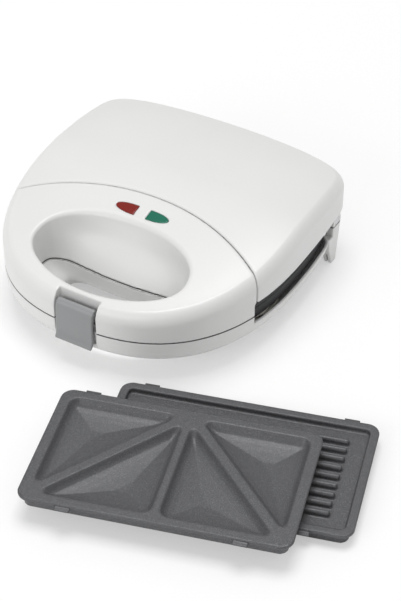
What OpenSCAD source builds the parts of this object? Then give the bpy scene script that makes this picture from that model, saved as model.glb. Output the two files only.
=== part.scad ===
// Sandwich toaster with a hinged lid, a snap latch, clip-in plates and one spare pair of plates.
// Millimetres, +Z up. The handle side faces -Y and the hinge side +Y.
// Every piece is drawn about the toaster's own centre line; the whole set is then shifted so
// that the origin is the middle of its footprint on the table.

/* [Housing] */
// Width of the housing over its widest line
body_w = 250; // [244:1:262]
// Reach of the housing from its widest line to the handle's front
front_reach = 146; // [144:1:156]
// Reach of the lid from its widest line to its rear edge
lid_rear = 113; // [111:1:120]
// Reach of the base from its widest line to its rear wall
base_rear = 72; // [70:1:73]
// Roundness of the front of the outline
front_power = 2.4; // [2.2:0.1:2.6]
// Squareness of the rear of the outline
rear_power = 15; // [13:1:17]
// Share of the width lost at the rear edge of the lid
side_taper = 0.04; // [0.03:0.01:0.06]
// Share of the width lost by the base and the plate frames at the same distance
base_taper = 0.1; // [0.09:0.01:0.11]
// How far the rear edge bows at its corners
rear_bow = 15; // [12:1:16]
// Wall of the white mouldings
wall = 2.5; // [2:0.1:3]
// Height of the parting seam above the table
seam_z = 38; // [37:0.5:42]
// Gap of the parting seam
seam_gap = 0.7; // [0.6:0.1:1]
// Height of the base's floor above the table
floor_z = 12; // [11:0.5:12.5]
// Thickness of the decks that close the handle's two halves
deck_t = 2.5; // [2:0.1:3]

/* [Lid] */
// Height of the lid's crown above the seam
lid_h = 54.7; // [52:0.1:60]
// Slope of the lid towards the handle
front_slope = 0.23; // [0.2:0.01:0.25]
// Length over which the crown turns into the front slope
crown_blend = 30; // [24:1:36]
// Position of the crown's highest line
crown_y = 17.4; // [10:0.1:25]
// Fall of the crown at the rear edge
rear_fall = 11; // [9:0.5:12]
// Fall of the crown at the sides
side_fall = 8; // [7:0.5:10]
// Width of the groove between the two lid mouldings
groove_w = 0.8; // [0.6:0.1:1.2]
// Position of the groove on the centre line
groove_y = -22.4; // [-24:0.1:-21]
// How far the groove sweeps forward at the sides
groove_sweep = 40; // [37:0.5:40.5]

/* [Side openings] */
// Front end of the side openings that show the plate frames
strip_front = -62.6; // [-63:0.1:-61]
// Upper edge of the side openings above the seam
strip_top = 12.7; // [12.6:0.1:14]
// Lower edge of the side openings below the seam
strip_low = 7.5; // [7.4:0.1:9]

/* [Handle] */
// Centre of the hand opening on the centre line
scoop_y = -94.6; // [-96:0.1:-94]
// Half width of the hand opening at the seam
scoop_half = 67.5; // [64:0.5:68]
// Half width of the hand opening at the base's floor
scoop_foot = 42; // [38:0.5:46]
// Reach of the hand opening to the front at the seam
scoop_front = 33.4; // [32:0.1:34]
// Reach of the scoop to the rear at the lid's top
scoop_rear = 44; // [40:0.5:45]

/* [Latch] */
// Width of the latch
latch_w = 35; // [30:0.5:38]
// Height of the latch's pivot above the seam
latch_pivot_z = 13; // [12.5:0.1:13.5]
// Distance of the latch's pivot behind the handle's front
latch_pivot_in = 6.4; // [6.2:0.1:6.6]
// Radius of the latch pin
latch_pin_r = 1.5; // [1.2:0.1:1.6]
// Side gap of the latch in its notch
latch_gap = 2; // [1:0.1:2.5]

/* [Lights] */
// Distance of the lights' centre line from the widest line of the housing
lens_y = -42.3; // [-43:0.1:-41]
// Gap between the two lights
lens_gap = 11; // [10:0.5:14]
// Length of one light
lens_len = 19.5; // [16:0.5:21]
// Breadth of one light
lens_w = 10.8; // [9:0.1:12]

/* [Plates] */
// Width of a plate
plate_w = 206; // [200:1:207]
// Depth of a plate
plate_d = 120; // [116:1:121]
// Corner radius of a plate
plate_r = 10; // [8:0.5:14]
// Height of the plane where the plates meet above the seam
meet_rise = 2.6; // [2.4:0.1:2.8]
// Centre of the fitted plates on the centre line
plate_y = 6.5; // [6.3:0.1:6.6]
// Thickness of a plate's flange and walls
plate_t = 3; // [2.4:0.1:3.2]
// Overall height of a plate
plate_h = 12; // [11:0.1:12]
// Width of the ridge between two pockets
ridge_w = 5; // [4:0.5:8]
// Number of grill bars
grill_bars = 9; // [7:1:10]
// Width of a grill bar
grill_bar_w = 5; // [4:0.5:6]

/* [Plate frames] */
// Inset of the plate frames from the housing's outline
frame_inset = 5; // [4:0.1:6]
// Height of a plate frame
frame_h = 9.5; // [9.3:0.1:9.7]
// Front edge of the plate frames
frame_front = -66.5; // [-66.6:0.1:-66.2]
// Rear edge of the plate frames
frame_rear = 71; // [70.8:0.1:71.2]

/* [Heating] */
// Radius of the heating tube
tube_r = 3.25; // [3:0.05:3.3]
// Distance of the tube's two runs from the plate's middle
tube_run = 26; // [20:1:34]
// Sheet thickness of the reflector pans
pan_t = 0.8; // [0.6:0.1:1]

/* [Hinge] */
// Position of the hinge axis behind the widest line
hinge_y = 80; // [80:0.1:81]
// Height of the hinge axis above the seam
hinge_rise = 4; // [3.8:0.1:4.2]
// Radius of the hinge ears
ear_r = 7; // [6.5:0.1:7.2]
// Radius of the hinge pins
hinge_pin_r = 2.5; // [2:0.1:3]

/* [Feet] */
// Radius of a rubber foot pad
pad_r = 8; // [6:0.5:9]
// Distance of the front feet from the centre line
foot_x = 68; // [66:1:72]
// Position of the front feet in front of the widest line
foot_y = -80; // [-84:1:-78]

/* [Spare plates] */
// Turn of the spare plates on the table
spare_yaw = 16; // [0:1:30]
// Clear distance of the spare grill plate from the housing
spare_gap = 13.5; // [10:0.5:60]
// Shift of the spare grill plate along its own width
spare_shift = 110; // [80:1:140]
// How far the spare sandwich plate lies to the left on the grill plate
stack_left = 38; // [0:1:60]
// How far the spare sandwich plate lies to the front on the grill plate
stack_front = 32; // [0:1:50]

/* [Hidden] */
steps = 72;
true_round = 64;
fit = 0.05;
running = 0.06;
clear = 0.3;
white = [0.92, 0.92, 0.91];
black_resin = [0.13, 0.13, 0.14];
nonstick = [0.25, 0.25, 0.27];
sheet_metal = [0.8, 0.81, 0.82];
steel = [0.7, 0.7, 0.72];

base_power = rear_power + 1;
frame_power = 7;
frame_bow = 12;
side_curve = 4.8;
rear_curve = 2.6;
groove_curve = 2;
meet_z = seam_z + meet_rise;
hinge_z = seam_z + hinge_rise;
rim_inset = 8;
far = 300;

// Hand opening
scoop_steps = 56;
scoop_bulge = 5;
scoop_bulge_half = 50;
scoop_low_rear = 17;

// Latch and its notch
handle_y = -front_reach;
pivot_y = handle_y + latch_pivot_in;
pivot_z = seam_z + latch_pivot_z;
notch_half = latch_w / 2 + latch_gap;
notch_back = pivot_y + 4.6;
catch_face = handle_y + 3.2;
catch_low = 20;
recess_low = 13;
recess_h = 8;
recess_d = 2;
latch_boss_r = 3.6;
cheek = 4;

// Lights
lens_z = seam_z + lid_top(0, lens_y);
lens_tilt = atan(front_slope * (crown_y - lens_y) / norm([crown_y - lens_y, crown_blend]));
lens_flange = 1.2;
lens_flange_t = 1.2;
lens_under = wall + 0.5;
holder_z = -lens_under - lens_flange_t - 0.2;
holder_half = 31;
holder_d = 16;
holder_t = 1.6;
holder_leg = 2;
cradle_l = 18;
cradle_d = 10;
cradle_h = 6;
lamp_l = 12;
lamp_r = 2.4;
lamp_x = lens_gap / 2 + 2;
lamp_z = holder_z - 3.9;

// Plate cells, measured down from the plane where the plates meet
plate_top = 0.15;
frame_top = 0.3;
frame_low = frame_top + frame_h;
ledge = plate_top + plate_t;
plate_low = plate_top + plate_h;
flange_lip = 4;
well_w = plate_w - 2 * flange_lip;
well_d = plate_d - 2 * flange_lip;
tube_z = plate_low + 0.4 + tube_r;
pan_floor = tube_z + tube_r + 0.45;
pan_in_w = well_w + 4;
pan_in_d = well_d + 4;
pan_lip = 2.4;
pan_lip_t = 1;
pan_room = 1;
tube_left = -60;
tube_end = 113;
bushing_r = 5;
bushing_in = 1.4;
bushing_x = pan_in_w / 2 - bushing_in;
bushing_l = bushing_in + pan_t + pan_lip + pan_room - 0.4;
clip_bar_half = 76;
clip_travel = 3;
clip_t = 2.3;
tab_x = 66;
tab_w = 12;
tab_t = 1.5;
tab_out = 4;
rear_tab_x = 80;
rear_tab_out = 3;
hook_t = 0.95;
hook_half = 4;
thumb_half = 10;
clip_top = frame_top + 0.2;
clip_back = -plate_d / 2 - tab_out - clear;
clip_bar_d = 2.2;
clip_channel_front = clip_back - clip_bar_d - clip_travel - clear;
clip_channel_d = clip_back + clear - clip_channel_front;

// Screws
screw_r = 1.4;
screw_head_r = 3;
screw_head_t = 2;
post_r = 4.5;
post_places = [for (side = [-1, 1]) each [[side * 109.5, 50], [side * 109.5, -38], [side * 90, -60.3]]];
base_head_z = floor_z + 8;
base_screw_l = 15;
lid_head_rise = 3;
lid_screw_l = 16;

// Hinge
ear_in = 111.5;
ear_t = 7.5;
lug_in = 103;
lug_t = 7;
lug_r = 6.3;
lug_neck = 0.2;
pin_head_r = 4;
pin_head_t = 1.4;
leg_slit = 1.6;
leg_slit_h = 11;
flange_top = 14.9;
flange_low = 12.9;
flange_inset = wall + 1.2;

// Cord entry
cord_x = 70;
cord_z = floor_z + 5.8;
cord_boss_r = 6;
cord_boss_front = 66;
cord_hole_r = 4;
cord_hole_in = 10;
cord_bore_r = 2.6;

// Wiring
lead_side = [0.31, 0.17, 0.94];
block_x = 69;
block_y = -84;
block_l = 26;
block_d = 14;
block_h = 9;
block_z = floor_z + wall + 0.55;
lead_r = 2.2;
wire_r = 1.1;
wire_start = 0.1;
wire_bend = 1.2;
block_front = block_y - block_d / 2;
block_back = block_y + block_d / 2;
fuse_x = 60;
fuse_z = meet_z + pan_floor + pan_t;
fuse_rise = 4.2;
fuse_l = 18;
fuse_r = 3.6;
fuse_plate_l = 24;
fuse_plate_d = 10;
fuse_plate_t = 1;
cutout_r = 8;
cutout_rim = 3;

// Front feet
stub_r = 10;
stub_z = 1.5;
pad_h = 4.5;

// Spare plates
spare_dir = [cos(spare_yaw), sin(spare_yaw)];
spare_front = [sin(spare_yaw), -cos(spare_yaw)];
front_dual = front_power / (front_power - 1);
spare_reach = pow(pow(body_w / 2 * spare_front[0], front_dual)
    + pow(front_reach * -spare_front[1], front_dual), 1 / front_dual);
grill_at = (spare_reach + spare_gap + plate_d / 2 + rear_tab_out) * spare_front + spare_shift * spare_dir;
stack_at = grill_at - stack_left * spare_dir + stack_front * spare_front;

// Footprint of the whole set
function plate_reach(dir) =
    abs(dir[0]) * (plate_w / 2 - plate_r) + abs(dir[1]) * (plate_d / 2 - plate_r) + plate_r;
spare_reach_x = plate_reach([cos(spare_yaw), sin(spare_yaw)]);
tab_corner = [tab_x + tab_w / 2, plate_d / 2 + tab_out];
spare_reach_y = max(plate_reach([sin(spare_yaw), cos(spare_yaw)]),
    tab_corner[0] * -sin(spare_yaw) + tab_corner[1] * cos(spare_yaw),
    -tab_corner[0] * -sin(spare_yaw) + tab_corner[1] * cos(spare_yaw));
set_right = max(body_w / 2, grill_at[0] + spare_reach_x, stack_at[0] + spare_reach_x);
set_left = min(-body_w / 2, grill_at[0] - spare_reach_x, stack_at[0] - spare_reach_x);
set_front = min(-front_reach, grill_at[1] - spare_reach_y, stack_at[1] - spare_reach_y);
set_shift = [-(set_left + set_right) / 2, -(set_front + lid_rear) / 2, 0];

// ---- Outline and height of the housing ----

// Point of a rounded outline in the direction t; the front and rear have their own reach and power
function outline_point(t, inset, rear, power, bow, taper) =
    let (front = sin(t) < 0,
        a = body_w / 2 - inset,
        b = (front ? front_reach : rear) - inset,
        n = front ? front_power : power,
        r = pow(pow(abs(cos(t)) / a, n) + pow(abs(sin(t)) / b, n), -1 / n),
        x = r * cos(t),
        y = r * sin(t),
        back = max(y, 0))
    [x * (1 - taper * pow(back / lid_rear, 2)), y - bow * pow(x / a, 2) * back / b];

function lid_point(t, inset) = outline_point(t, inset, lid_rear, rear_power, rear_bow, side_taper);
function base_point(t, inset) = outline_point(t, inset, base_rear, base_power, 1, base_taper);
function frame_point(t, inset) = outline_point(t, inset, lid_rear, frame_power, frame_bow, base_taper);
function turn(i) = i * 360 / steps;
function lid_outline(inset) = [for (i = [0:steps - 1]) lid_point(turn(i), inset)];
function frame_outline(inset) = [for (i = [0:steps - 1]) frame_point(turn(i), inset)];

// Height of the lid's top above the seam
function lid_top(x, y) =
    lid_h - side_fall * pow(abs(x) / (body_w / 2), side_curve)
    - (y < crown_y
        ? front_slope * (norm([y - crown_y, crown_blend]) - crown_blend)
        : rear_fall * pow((y - crown_y) / (lid_rear - crown_y), rear_curve));

function groove_line(x) = groove_y - groove_sweep * pow(abs(x) / (body_w / 2 - 3), groove_curve);

function middle(ring) = [for (k = [0:2]) [for (p = ring) p[k]] * [for (p = ring) 1] / len(ring)];

// Closed solid through rings that run anticlockwise and climb in the order given
module loft(rings) {
    n = len(rings[0]);
    last = len(rings) - 1;
    low = n * len(rings);
    high = low + 1;
    polyhedron(
        points = [for (ring = rings) each ring, middle(rings[0]), middle(rings[last])],
        faces = [
            for (k = [0:last - 1], i = [0:n - 1])
                let (j = (i + 1) % n, a = k * n + i, b = k * n + j, c = a + n, d = b + n)
                each [[c, b, a], [c, d, b]],
            for (i = [0:n - 1]) let (j = (i + 1) % n) each [[low, i, j], [high, last * n + j, last * n + i]]
        ],
        convexity = 10);
}

// ---- Lid ----

// Ring of the lid's side, at a drop below the rim of the crown
function lid_side(inset, drop, skin) = [for (i = [0:steps - 1])
    let (rim = lid_point(turn(i), rim_inset), p = lid_point(turn(i), inset + skin))
    [p[0], p[1], seam_z + lid_top(rim[0], rim[1]) - drop - skin]];

// Ring of the crown, at a share of the way from its middle to its rim
function lid_crown(share, skin) = [for (i = [0:steps - 1])
    let (p = share * lid_point(turn(i), rim_inset + skin))
    [p[0], p[1], seam_z + lid_top(p[0], p[1]) - skin]];

// The lid as a solid, drawn in by skin all over and closed at the height low
module lid_solid(skin, low) {
    loft([
        [for (p = lid_outline(skin)) [p[0], p[1], low]],
        lid_side(0, 13, skin),
        lid_side(0.7, 8.5, skin),
        lid_side(2, 5.2, skin),
        lid_side(3.7, 2.6, skin),
        for (share = [1, 0.88, 0.72, 0.52, 0.3, 0.1]) lid_crown(share, skin)
    ]);
}

// Everything behind the groove, moved back by shift
module behind_groove(shift) {
    linear_extrude(height = far)
        polygon([for (x = [-140:10:140]) [x, groove_line(x) + shift], [140, far], [-140, far]]);
}

// Region over the plate frames, where the housing has no deck
module open_bay(low, high, skin) {
    translate([0, 0, low])
        linear_extrude(height = high - low)
            intersection() {
                polygon(lid_outline(skin));
                translate([-far / 2, frame_front - 0.5]) square([far, far]);
            }
}

// Space below the lid's side openings
module lid_side_openings() {
    translate([-far / 2, strip_front, 0]) cube([far, far, seam_z + strip_top]);
}

module lid_posts() {
    for (p = post_places)
        translate([p[0], p[1], seam_z + flange_top]) cylinder(r = post_r, h = far, $fn = true_round);
}

module lid_post_bores() {
    for (p = post_places)
        translate([p[0], p[1], seam_z])
            cylinder(r = screw_r + fit, h = flange_top + lid_screw_l - lid_head_rise, $fn = true_round);
}

module lid_cover() {
    color(white)
        difference() {
            intersection() {
                lid_solid(0, seam_z + seam_gap / 2);
                behind_groove(groove_w / 2);
            }
            difference() {
                lid_solid(wall, seam_z - 1);
                lid_posts();
            }
            lid_side_openings();
            lid_post_bores();
        }
}

module lid_handle() {
    color(white)
        difference() {
            lid_solid(0, seam_z + seam_gap / 2);
            behind_groove(-groove_w / 2);
            difference() {
                lid_solid(wall, seam_z + seam_gap / 2 + deck_t);
                lid_scoop(wall);
                notch_box(seam_z - 1, far);
                lid_posts();
            }
            open_bay(seam_z - 1, seam_z + seam_gap / 2 + deck_t + 1, wall);
            lid_scoop(0);
            lid_side_openings();
            latch_notch(seam_z - 1, far);
            latch_pin_bore();
            for (side = [-1, 1]) lens_place() lens_body(side, fit + 0.05, 8);
            lid_post_bores();
        }
}

// ---- Hand opening ----

// Ring of the hand opening at a height above the seam
function scoop_ring(rise, half, front, rear, power, bulge, grow) = [for (i = [0:scoop_steps - 1])
    let (t = i * 360 / scoop_steps,
        fore = sin(t) < 0,
        a = half + grow,
        b = (fore ? front : rear) + grow,
        n = fore ? 1.9 : power,
        r = pow(pow(abs(cos(t)) / a, n) + pow(abs(sin(t)) / b, n), -1 / n),
        x = r * cos(t),
        y = r * sin(t))
    [x, scoop_y + y - (fore ? 0 : bulge * max(0, 1 - pow(x / scoop_bulge_half, 2)) * min(1, y / 5)),
        seam_z + rise]];

module lid_scoop(grow) {
    rise_mid = 12;
    rise_high = 25;
    rise_rim = 38;
    rise_top = 50;
    loft([
        scoop_ring(-1, scoop_half, scoop_front, scoop_low_rear, 4, scoop_bulge, grow),
        scoop_ring(rise_mid, scoop_half + 1, scoop_front + 1, 25, 3.5, 3, grow),
        scoop_ring(rise_high, scoop_half + 2, scoop_front + 2, 33, 2.8, 1, grow),
        scoop_ring(rise_rim, scoop_half + 3, scoop_front + 2.6, scoop_rear - 5, 2.3, 0, grow),
        scoop_ring(rise_top, scoop_half + 4, scoop_front + 2.9, scoop_rear, 2.2, 0, grow),
        scoop_ring(rise_top + 20, scoop_half + 4, scoop_front + 2.9, scoop_rear, 2.2, 0, grow)
    ]);
}

module base_scoop(grow) {
    lift = 0.8 * grow;
    loft([
        scoop_ring(-35, scoop_foot + 10, scoop_front - 4, 28.5, 4, scoop_bulge - 1, grow),
        scoop_ring(-26 + lift, scoop_foot + 10, scoop_front - 3, 28.5, 4, scoop_bulge - 1, grow),
        scoop_ring(-21.5 + lift, scoop_foot + 9, scoop_front - 2.6, 25.5, 4, scoop_bulge - 1, grow),
        scoop_ring(-18 + lift, scoop_foot + 8, scoop_front - 2.2, 20.5, 4, scoop_bulge - 1, grow),
        scoop_ring(-16 + lift, scoop_foot + 6, scoop_front - 2, 15.5, 4, scoop_bulge - 1, grow),
        scoop_ring(-6, scoop_half - 5, scoop_front - 0.5, 16.5, 4, scoop_bulge, grow),
        scoop_ring(1, scoop_half, scoop_front, scoop_low_rear, 4, scoop_bulge, grow)
    ]);
}

// ---- Base ----

function base_ring(inset, z) = [for (i = [0:steps - 1])
    let (p = base_point(turn(i), inset)) [p[0], p[1], z]];

module base_solid(top) {
    loft([
        base_ring(26, floor_z),
        base_ring(15, floor_z + 0.5),
        base_ring(8, floor_z + 3),
        base_ring(3.2, floor_z + 8),
        base_ring(0.9, floor_z + 15),
        base_ring(0, floor_z + 21),
        base_ring(0, top)
    ]);
}

module base_cavity(top) {
    loft([
        base_ring(26 + wall, floor_z + wall),
        base_ring(15 + wall, floor_z + wall + 0.5),
        base_ring(8 + wall, floor_z + wall + 2.6),
        base_ring(3.2 + wall, floor_z + 8),
        base_ring(0.9 + wall, floor_z + 15.3),
        base_ring(wall, floor_z + 21),
        base_ring(wall, top)
    ]);
}

module base_posts() {
    for (p = post_places)
        translate([p[0], p[1], floor_z + 1])
            cylinder(r = post_r, h = meet_z - frame_low - floor_z - 1, $fn = true_round);
}

// Leg with its hinge ear, as a profile seen along the hinge
module leg_profile() {
    translate([hinge_y, hinge_z]) circle(r = ear_r, $fn = true_round);
    polygon([
        [hinge_y - ear_r, hinge_z],
        [hinge_y - ear_r, seam_z - strip_low - 1.5],
        [base_rear - 6, seam_z - strip_low - 1.5],
        [base_rear - 5, floor_z + 6],
        [hinge_y - ear_r, 0],
        [hinge_y + 0.5, 0],
        [hinge_y + ear_r, hinge_z]
    ]);
}

module legs() {
    for (side = [0, 1])
        mirror([side, 0, 0])
            difference() {
                translate([ear_in, 0, 0])
                    rotate([90, 0, 90])
                        linear_extrude(height = ear_t) leg_profile();
                translate([ear_in - 1, hinge_y, hinge_z])
                    rotate([0, 90, 0]) cylinder(r = hinge_pin_r + 0.02, h = ear_t + 2, $fn = true_round);
                translate([ear_in + ear_t - pin_head_t, hinge_y, hinge_z])
                    rotate([0, 90, 0]) cylinder(r = pin_head_r + 0.1, h = ear_t, $fn = true_round);
                translate([ear_in + ear_t / 2 - leg_slit / 2, hinge_y - 2 * ear_r, -1])
                    cube([leg_slit, 4 * ear_r, leg_slit_h + 1]);
            }
}

module foot_stub(side) {
    translate([side * foot_x, foot_y, stub_z])
        difference() {
            cylinder(r1 = stub_r, r2 = stub_r + 1.5, h = floor_z - stub_z + 1, $fn = true_round);
            translate([0, 0, -1])
                cylinder(r = pad_r + 0.1, h = pad_h - stub_z + 1, $fn = true_round);
        }
}

module lower_housing() {
    color(white) {
        difference() {
            base_solid(seam_z - seam_gap / 2);
            difference() {
                base_cavity(seam_z - seam_gap / 2 - deck_t);
                base_scoop(wall);
                notch_box(0, seam_z);
                base_posts();
                cord_boss(0);
            }
            open_bay(seam_z - seam_gap / 2 - deck_t - 1, seam_z + 1, wall);
            base_scoop(0);
            latch_notch(seam_z - catch_low, seam_z + 1);
            catch_recess();
            translate([-far / 2, strip_front, seam_z - strip_low]) cube([far, far, far]);
            for (p = post_places) base_screw_hole(p);
            cord_hole();
        }
        legs();
        for (side = [-1, 1]) foot_stub(side);
        difference() {
            cord_boss(0.01);
            cord_hole();
        }
    }
}

module base_screw_hole(p) {
    translate([p[0], p[1], 0]) {
        cylinder(r = screw_head_r + 0.2, h = base_head_z, $fn = true_round);
        cylinder(r = screw_r + 0.2, h = far, $fn = true_round);
    }
}

module cord_boss(extra) {
    translate([cord_x, cord_boss_front, cord_z])
        rotate([-90, 0, 0])
            cylinder(r = cord_boss_r, h = base_rear - cord_boss_front + extra, $fn = true_round);
}

module cord_hole() {
    translate([cord_x, cord_boss_front - cord_hole_in, cord_z])
        rotate([-90, 0, 0])
            cylinder(r = cord_hole_r, h = cord_hole_in + base_rear - cord_boss_front + 6, $fn = true_round);
}

module cord_bushing() {
    color(black_resin)
        translate([cord_x, cord_boss_front, cord_z])
            rotate([-90, 0, 0])
                difference() {
                    union() {
                        cylinder(r = cord_hole_r - fit, h = base_rear - cord_boss_front + 1,
                            $fn = true_round);
                        translate([0, 0, base_rear - cord_boss_front + 0.1])
                            cylinder(r = cord_boss_r - 0.4, h = 1.5, $fn = true_round);
                    }
                    translate([0, 0, -1]) cylinder(r = cord_bore_r, h = 20, $fn = true_round);
                }
}

module foot_pad(side) {
    color(black_resin)
        translate([side * foot_x, foot_y, 0]) cylinder(r = pad_r, h = pad_h, $fn = true_round);
}

module base_screws() {
    color(steel)
        for (p = post_places)
            translate([p[0], p[1], base_head_z]) {
                translate([0, 0, -screw_head_t])
                    difference() {
                        cylinder(r = screw_head_r, h = screw_head_t, $fn = true_round);
                        translate([0, 0, -1]) screw_cross();
                    }
                cylinder(r = screw_r, h = base_screw_l, $fn = true_round);
            }
}

// Cross recess of a screw, 2 mm deep from one above the head's face
module screw_cross() {
    for (a = [0, 90])
        rotate([0, 0, a]) translate([-1.6, -0.35, 0]) cube([3.2, 0.7, 2]);
}

// ---- Latch ----

module latch_notch(low, high) {
    translate([-notch_half, handle_y - 20, low])
        cube([2 * notch_half, (low < seam_z - 2 ? catch_face : notch_back) - handle_y + 20, high - low]);
}

// Recess under the catch's ledge, behind the latch's hook
module catch_recess() {
    translate([-latch_w / 2 - 0.5, catch_face - 1, seam_z - recess_low])
        cube([latch_w + 1, 1 + recess_d, recess_h]);
}

// Solid walls round the latch's notch
module notch_box(low, high) {
    translate([-notch_half - cheek, handle_y - 20, low])
        cube([2 * (notch_half + cheek), notch_back + wall - handle_y + 20, high - low]);
}

module latch_pin_bore() {
    translate([-notch_half - cheek - 1, pivot_y, pivot_z])
        rotate([0, 90, 0])
            cylinder(r = latch_pin_r + 0.02, h = 2 * (notch_half + cheek + 1), $fn = true_round);
}

module latch_pin() {
    color(steel)
        translate([-notch_half - cheek, pivot_y, pivot_z])
            rotate([0, 90, 0])
                cylinder(r = latch_pin_r, h = 2 * (notch_half + cheek), $fn = true_round);
}

// Side view of the latch: y across the handle, z measured from the seam
module latch_profile() {
    polygon([
        [handle_y + 5, 20.6], [handle_y + 2.4, 19.8], [handle_y + 0.3, 17.2], [handle_y - 0.8, 12.5],
        [handle_y - 1.2, 5], [handle_y - 1.2, -8], [handle_y - 2.2, -12], [handle_y - 4, -15],
        [handle_y - 3.4, -16.4], [handle_y - 0.6, -14.6], [handle_y + 1.6, -11.5],
        [handle_y + 2.7, -10], [handle_y + 2.7, -6.5], [handle_y + 1.8, -5], [handle_y + 1.8, 8],
        [handle_y + 5, 10], [handle_y + 8, 12], [handle_y + 9.3, 14.2], [handle_y + 8.4, 16.8],
        [handle_y + 6.4, 19.4]
    ]);
}

module latch() {
    color([0.55, 0.56, 0.57])
        difference() {
            translate([-latch_w / 2, 0, seam_z])
                rotate([90, 0, 90]) linear_extrude(height = latch_w) latch_profile();
            translate([-latch_w, pivot_y, pivot_z])
                rotate([0, 90, 0])
                    cylinder(r = latch_pin_r + running, h = 2 * latch_w, $fn = true_round);
        }
}

// ---- Lights ----

module lens_place() {
    translate([0, lens_y, lens_z]) rotate([lens_tilt, 0, 0]) children();
}

// Plan of one light, square at its inner end and round at its outer end
module lens_shape(side, grow) {
    half = lens_w / 2 + grow;
    reach = lens_len + 2 * grow;
    polygon([for (a = [-90:12:90])
        [side * (lens_gap / 2 - grow + reach * pow(max(cos(a), 0), 0.8)), half * sin(a)]]);
}

module lens_body(side, grow, half_height) {
    translate([0, 0, -half_height]) linear_extrude(height = 2 * half_height) lens_shape(side, grow);
}

module lens(side) {
    lens_place() {
        translate([0, 0, -lens_under - lens_flange_t])
            linear_extrude(height = lens_flange_t) lens_shape(side, lens_flange);
        translate([0, 0, -lens_under - 0.1])
            linear_extrude(height = lens_under + 0.4) lens_shape(side, 0);
    }
}

module lamp_axis(side) {
    translate([side * lamp_x, 0, lamp_z]) rotate([0, side * 90, 0]) children();
}

module lamp_holder() {
    color(black_resin)
        lens_place()
            difference() {
                union() {
                    translate([-holder_half, -holder_d / 2, holder_z - holder_t])
                        cube([2 * holder_half, holder_d, holder_t]);
                    for (side = [-1, 1])
                        translate([side * (lens_gap / 2 + cradle_l / 2) - cradle_l / 2, -cradle_d / 2,
                            holder_z - cradle_h - 1])
                            cube([cradle_l, cradle_d, cradle_h]);
                    for (x = [-holder_half, holder_half - holder_leg],
                        y = [-holder_d / 2, holder_d / 2 - holder_leg])
                        translate([x, y, holder_z - 0.1])
                            cube([holder_leg, holder_leg, -wall - 0.9 - holder_z + 0.1]);
                }
                for (side = [-1, 1]) {
                    lamp_axis(side) cylinder(r = lamp_r + 0.1, h = lamp_l + 1, $fn = true_round);
                    translate([side * (lamp_x + lamp_l / 2 + 0.5) - lamp_l / 2 - 0.5, -lamp_r - 0.1, lamp_z])
                        cube([lamp_l + 1, 2 * lamp_r + 0.2, 8]);
                }
            }
}

module neon_lamp(side) {
    color([0.9, 0.75, 0.6])
        lens_place()
            lamp_axis(side)
                translate([0, 0, 0.2]) {
                    cylinder(r = lamp_r, h = lamp_l - 2, $fn = true_round);
                    translate([0, 0, lamp_l - 2])
                        cylinder(r1 = lamp_r, r2 = lamp_r / 2, h = 2, $fn = true_round);
                }
}

// ---- Plate cells, drawn downwards from the plane where the plates meet ----

module lower_cell() {
    translate([0, plate_y, meet_z]) children();
}

module upper_cell() {
    translate([0, plate_y, meet_z]) mirror([0, 0, 1]) children();
}

module rounded_box(w, d, r, low, high) {
    translate([0, 0, low])
        linear_extrude(height = high - low)
            rounded_rect(w, d, r);
}

module rounded_rect(w, d, r) {
    square([w - 2 * r, d], center = true);
    square([w, d - 2 * r], center = true);
    for (x = [-1, 1], y = [-1, 1])
        translate([x * (w / 2 - r), y * (d / 2 - r)]) circle(r = r, $fn = true_round);
}

// Inward unit normal of the edge from p to q of an anticlockwise outline
function edge_normal(p, q) = [p[1] - q[1], q[0] - p[0]] / norm(q - p);

// Corner of a triangle after all its edges move inwards
function drawn_corner(tri, i, d) =
    let (before = edge_normal(tri[(i + 2) % 3], tri[i]), after = edge_normal(tri[i], tri[(i + 1) % 3]))
    tri[i] + (before + after) * d / (1 + before * after);

// Ring of a pocket: the triangle drawn in, with rounded corners
function pocket_ring(tri, inset, r, z) = [for (i = [0:2], k = [0:4])
    let (before = edge_normal(tri[(i + 2) % 3], tri[i]),
        after = edge_normal(tri[i], tri[(i + 1) % 3]),
        start = atan2(-before[1], -before[0]),
        sweep = acos(max(-1, min(1, before * after))),
        a = start + sweep * k / 4,
        c = drawn_corner(tri, i, inset + r))
    [c[0] + r * cos(a), c[1] + r * sin(a), z]];

// One triangular pocket, steep at its sides and shallow towards its middle
module pocket(tri, skin) {
    deep = plate_h - plate_t;
    loft([
        pocket_ring(tri, 24 - skin, 2.5, -deep - skin),
        pocket_ring(tri, 5 - skin, 7 + skin, -5.5 - skin),
        pocket_ring(tri, 1.8 - skin, 8 + skin, -2.5 - skin * 0.6),
        pocket_ring(tri, -skin, 8.5 + skin, skin > 0 ? -1 : 1)
    ]);
}

// The two pockets on one side of the plate
module side_pockets(skin) {
    in = ridge_w / 2;
    edge = well_w / 2 - plate_t - 1;
    half_d = well_d / 2 - plate_t - 1;
    pocket([[edge, half_d], [3 * in, half_d], [edge, -half_d + in * 2]], skin);
    pocket([[in, -half_d], [edge - in * 2, -half_d], [in, half_d - in * 2]], skin);
}

module plate_blank() {
    rounded_box(plate_w, plate_d, plate_r, -plate_t, 0);
    difference() {
        rounded_box(well_w, well_d, plate_r - 3, -plate_h, -plate_t / 2);
        rounded_box(well_w - 2 * plate_t, well_d - 2 * plate_t, plate_r - 3 - plate_t,
            -plate_h - 1, -plate_t);
    }
    for (side = [-1, 1]) {
        translate([side * tab_x - tab_w / 2, -plate_d / 2 - tab_out, -plate_t])
            cube([tab_w, tab_out + 2, tab_t]);
        translate([side * rear_tab_x - tab_w / 2, plate_d / 2 - 2, -plate_t])
            cube([tab_w, rear_tab_out + 2, tab_t]);
    }
}

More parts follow.
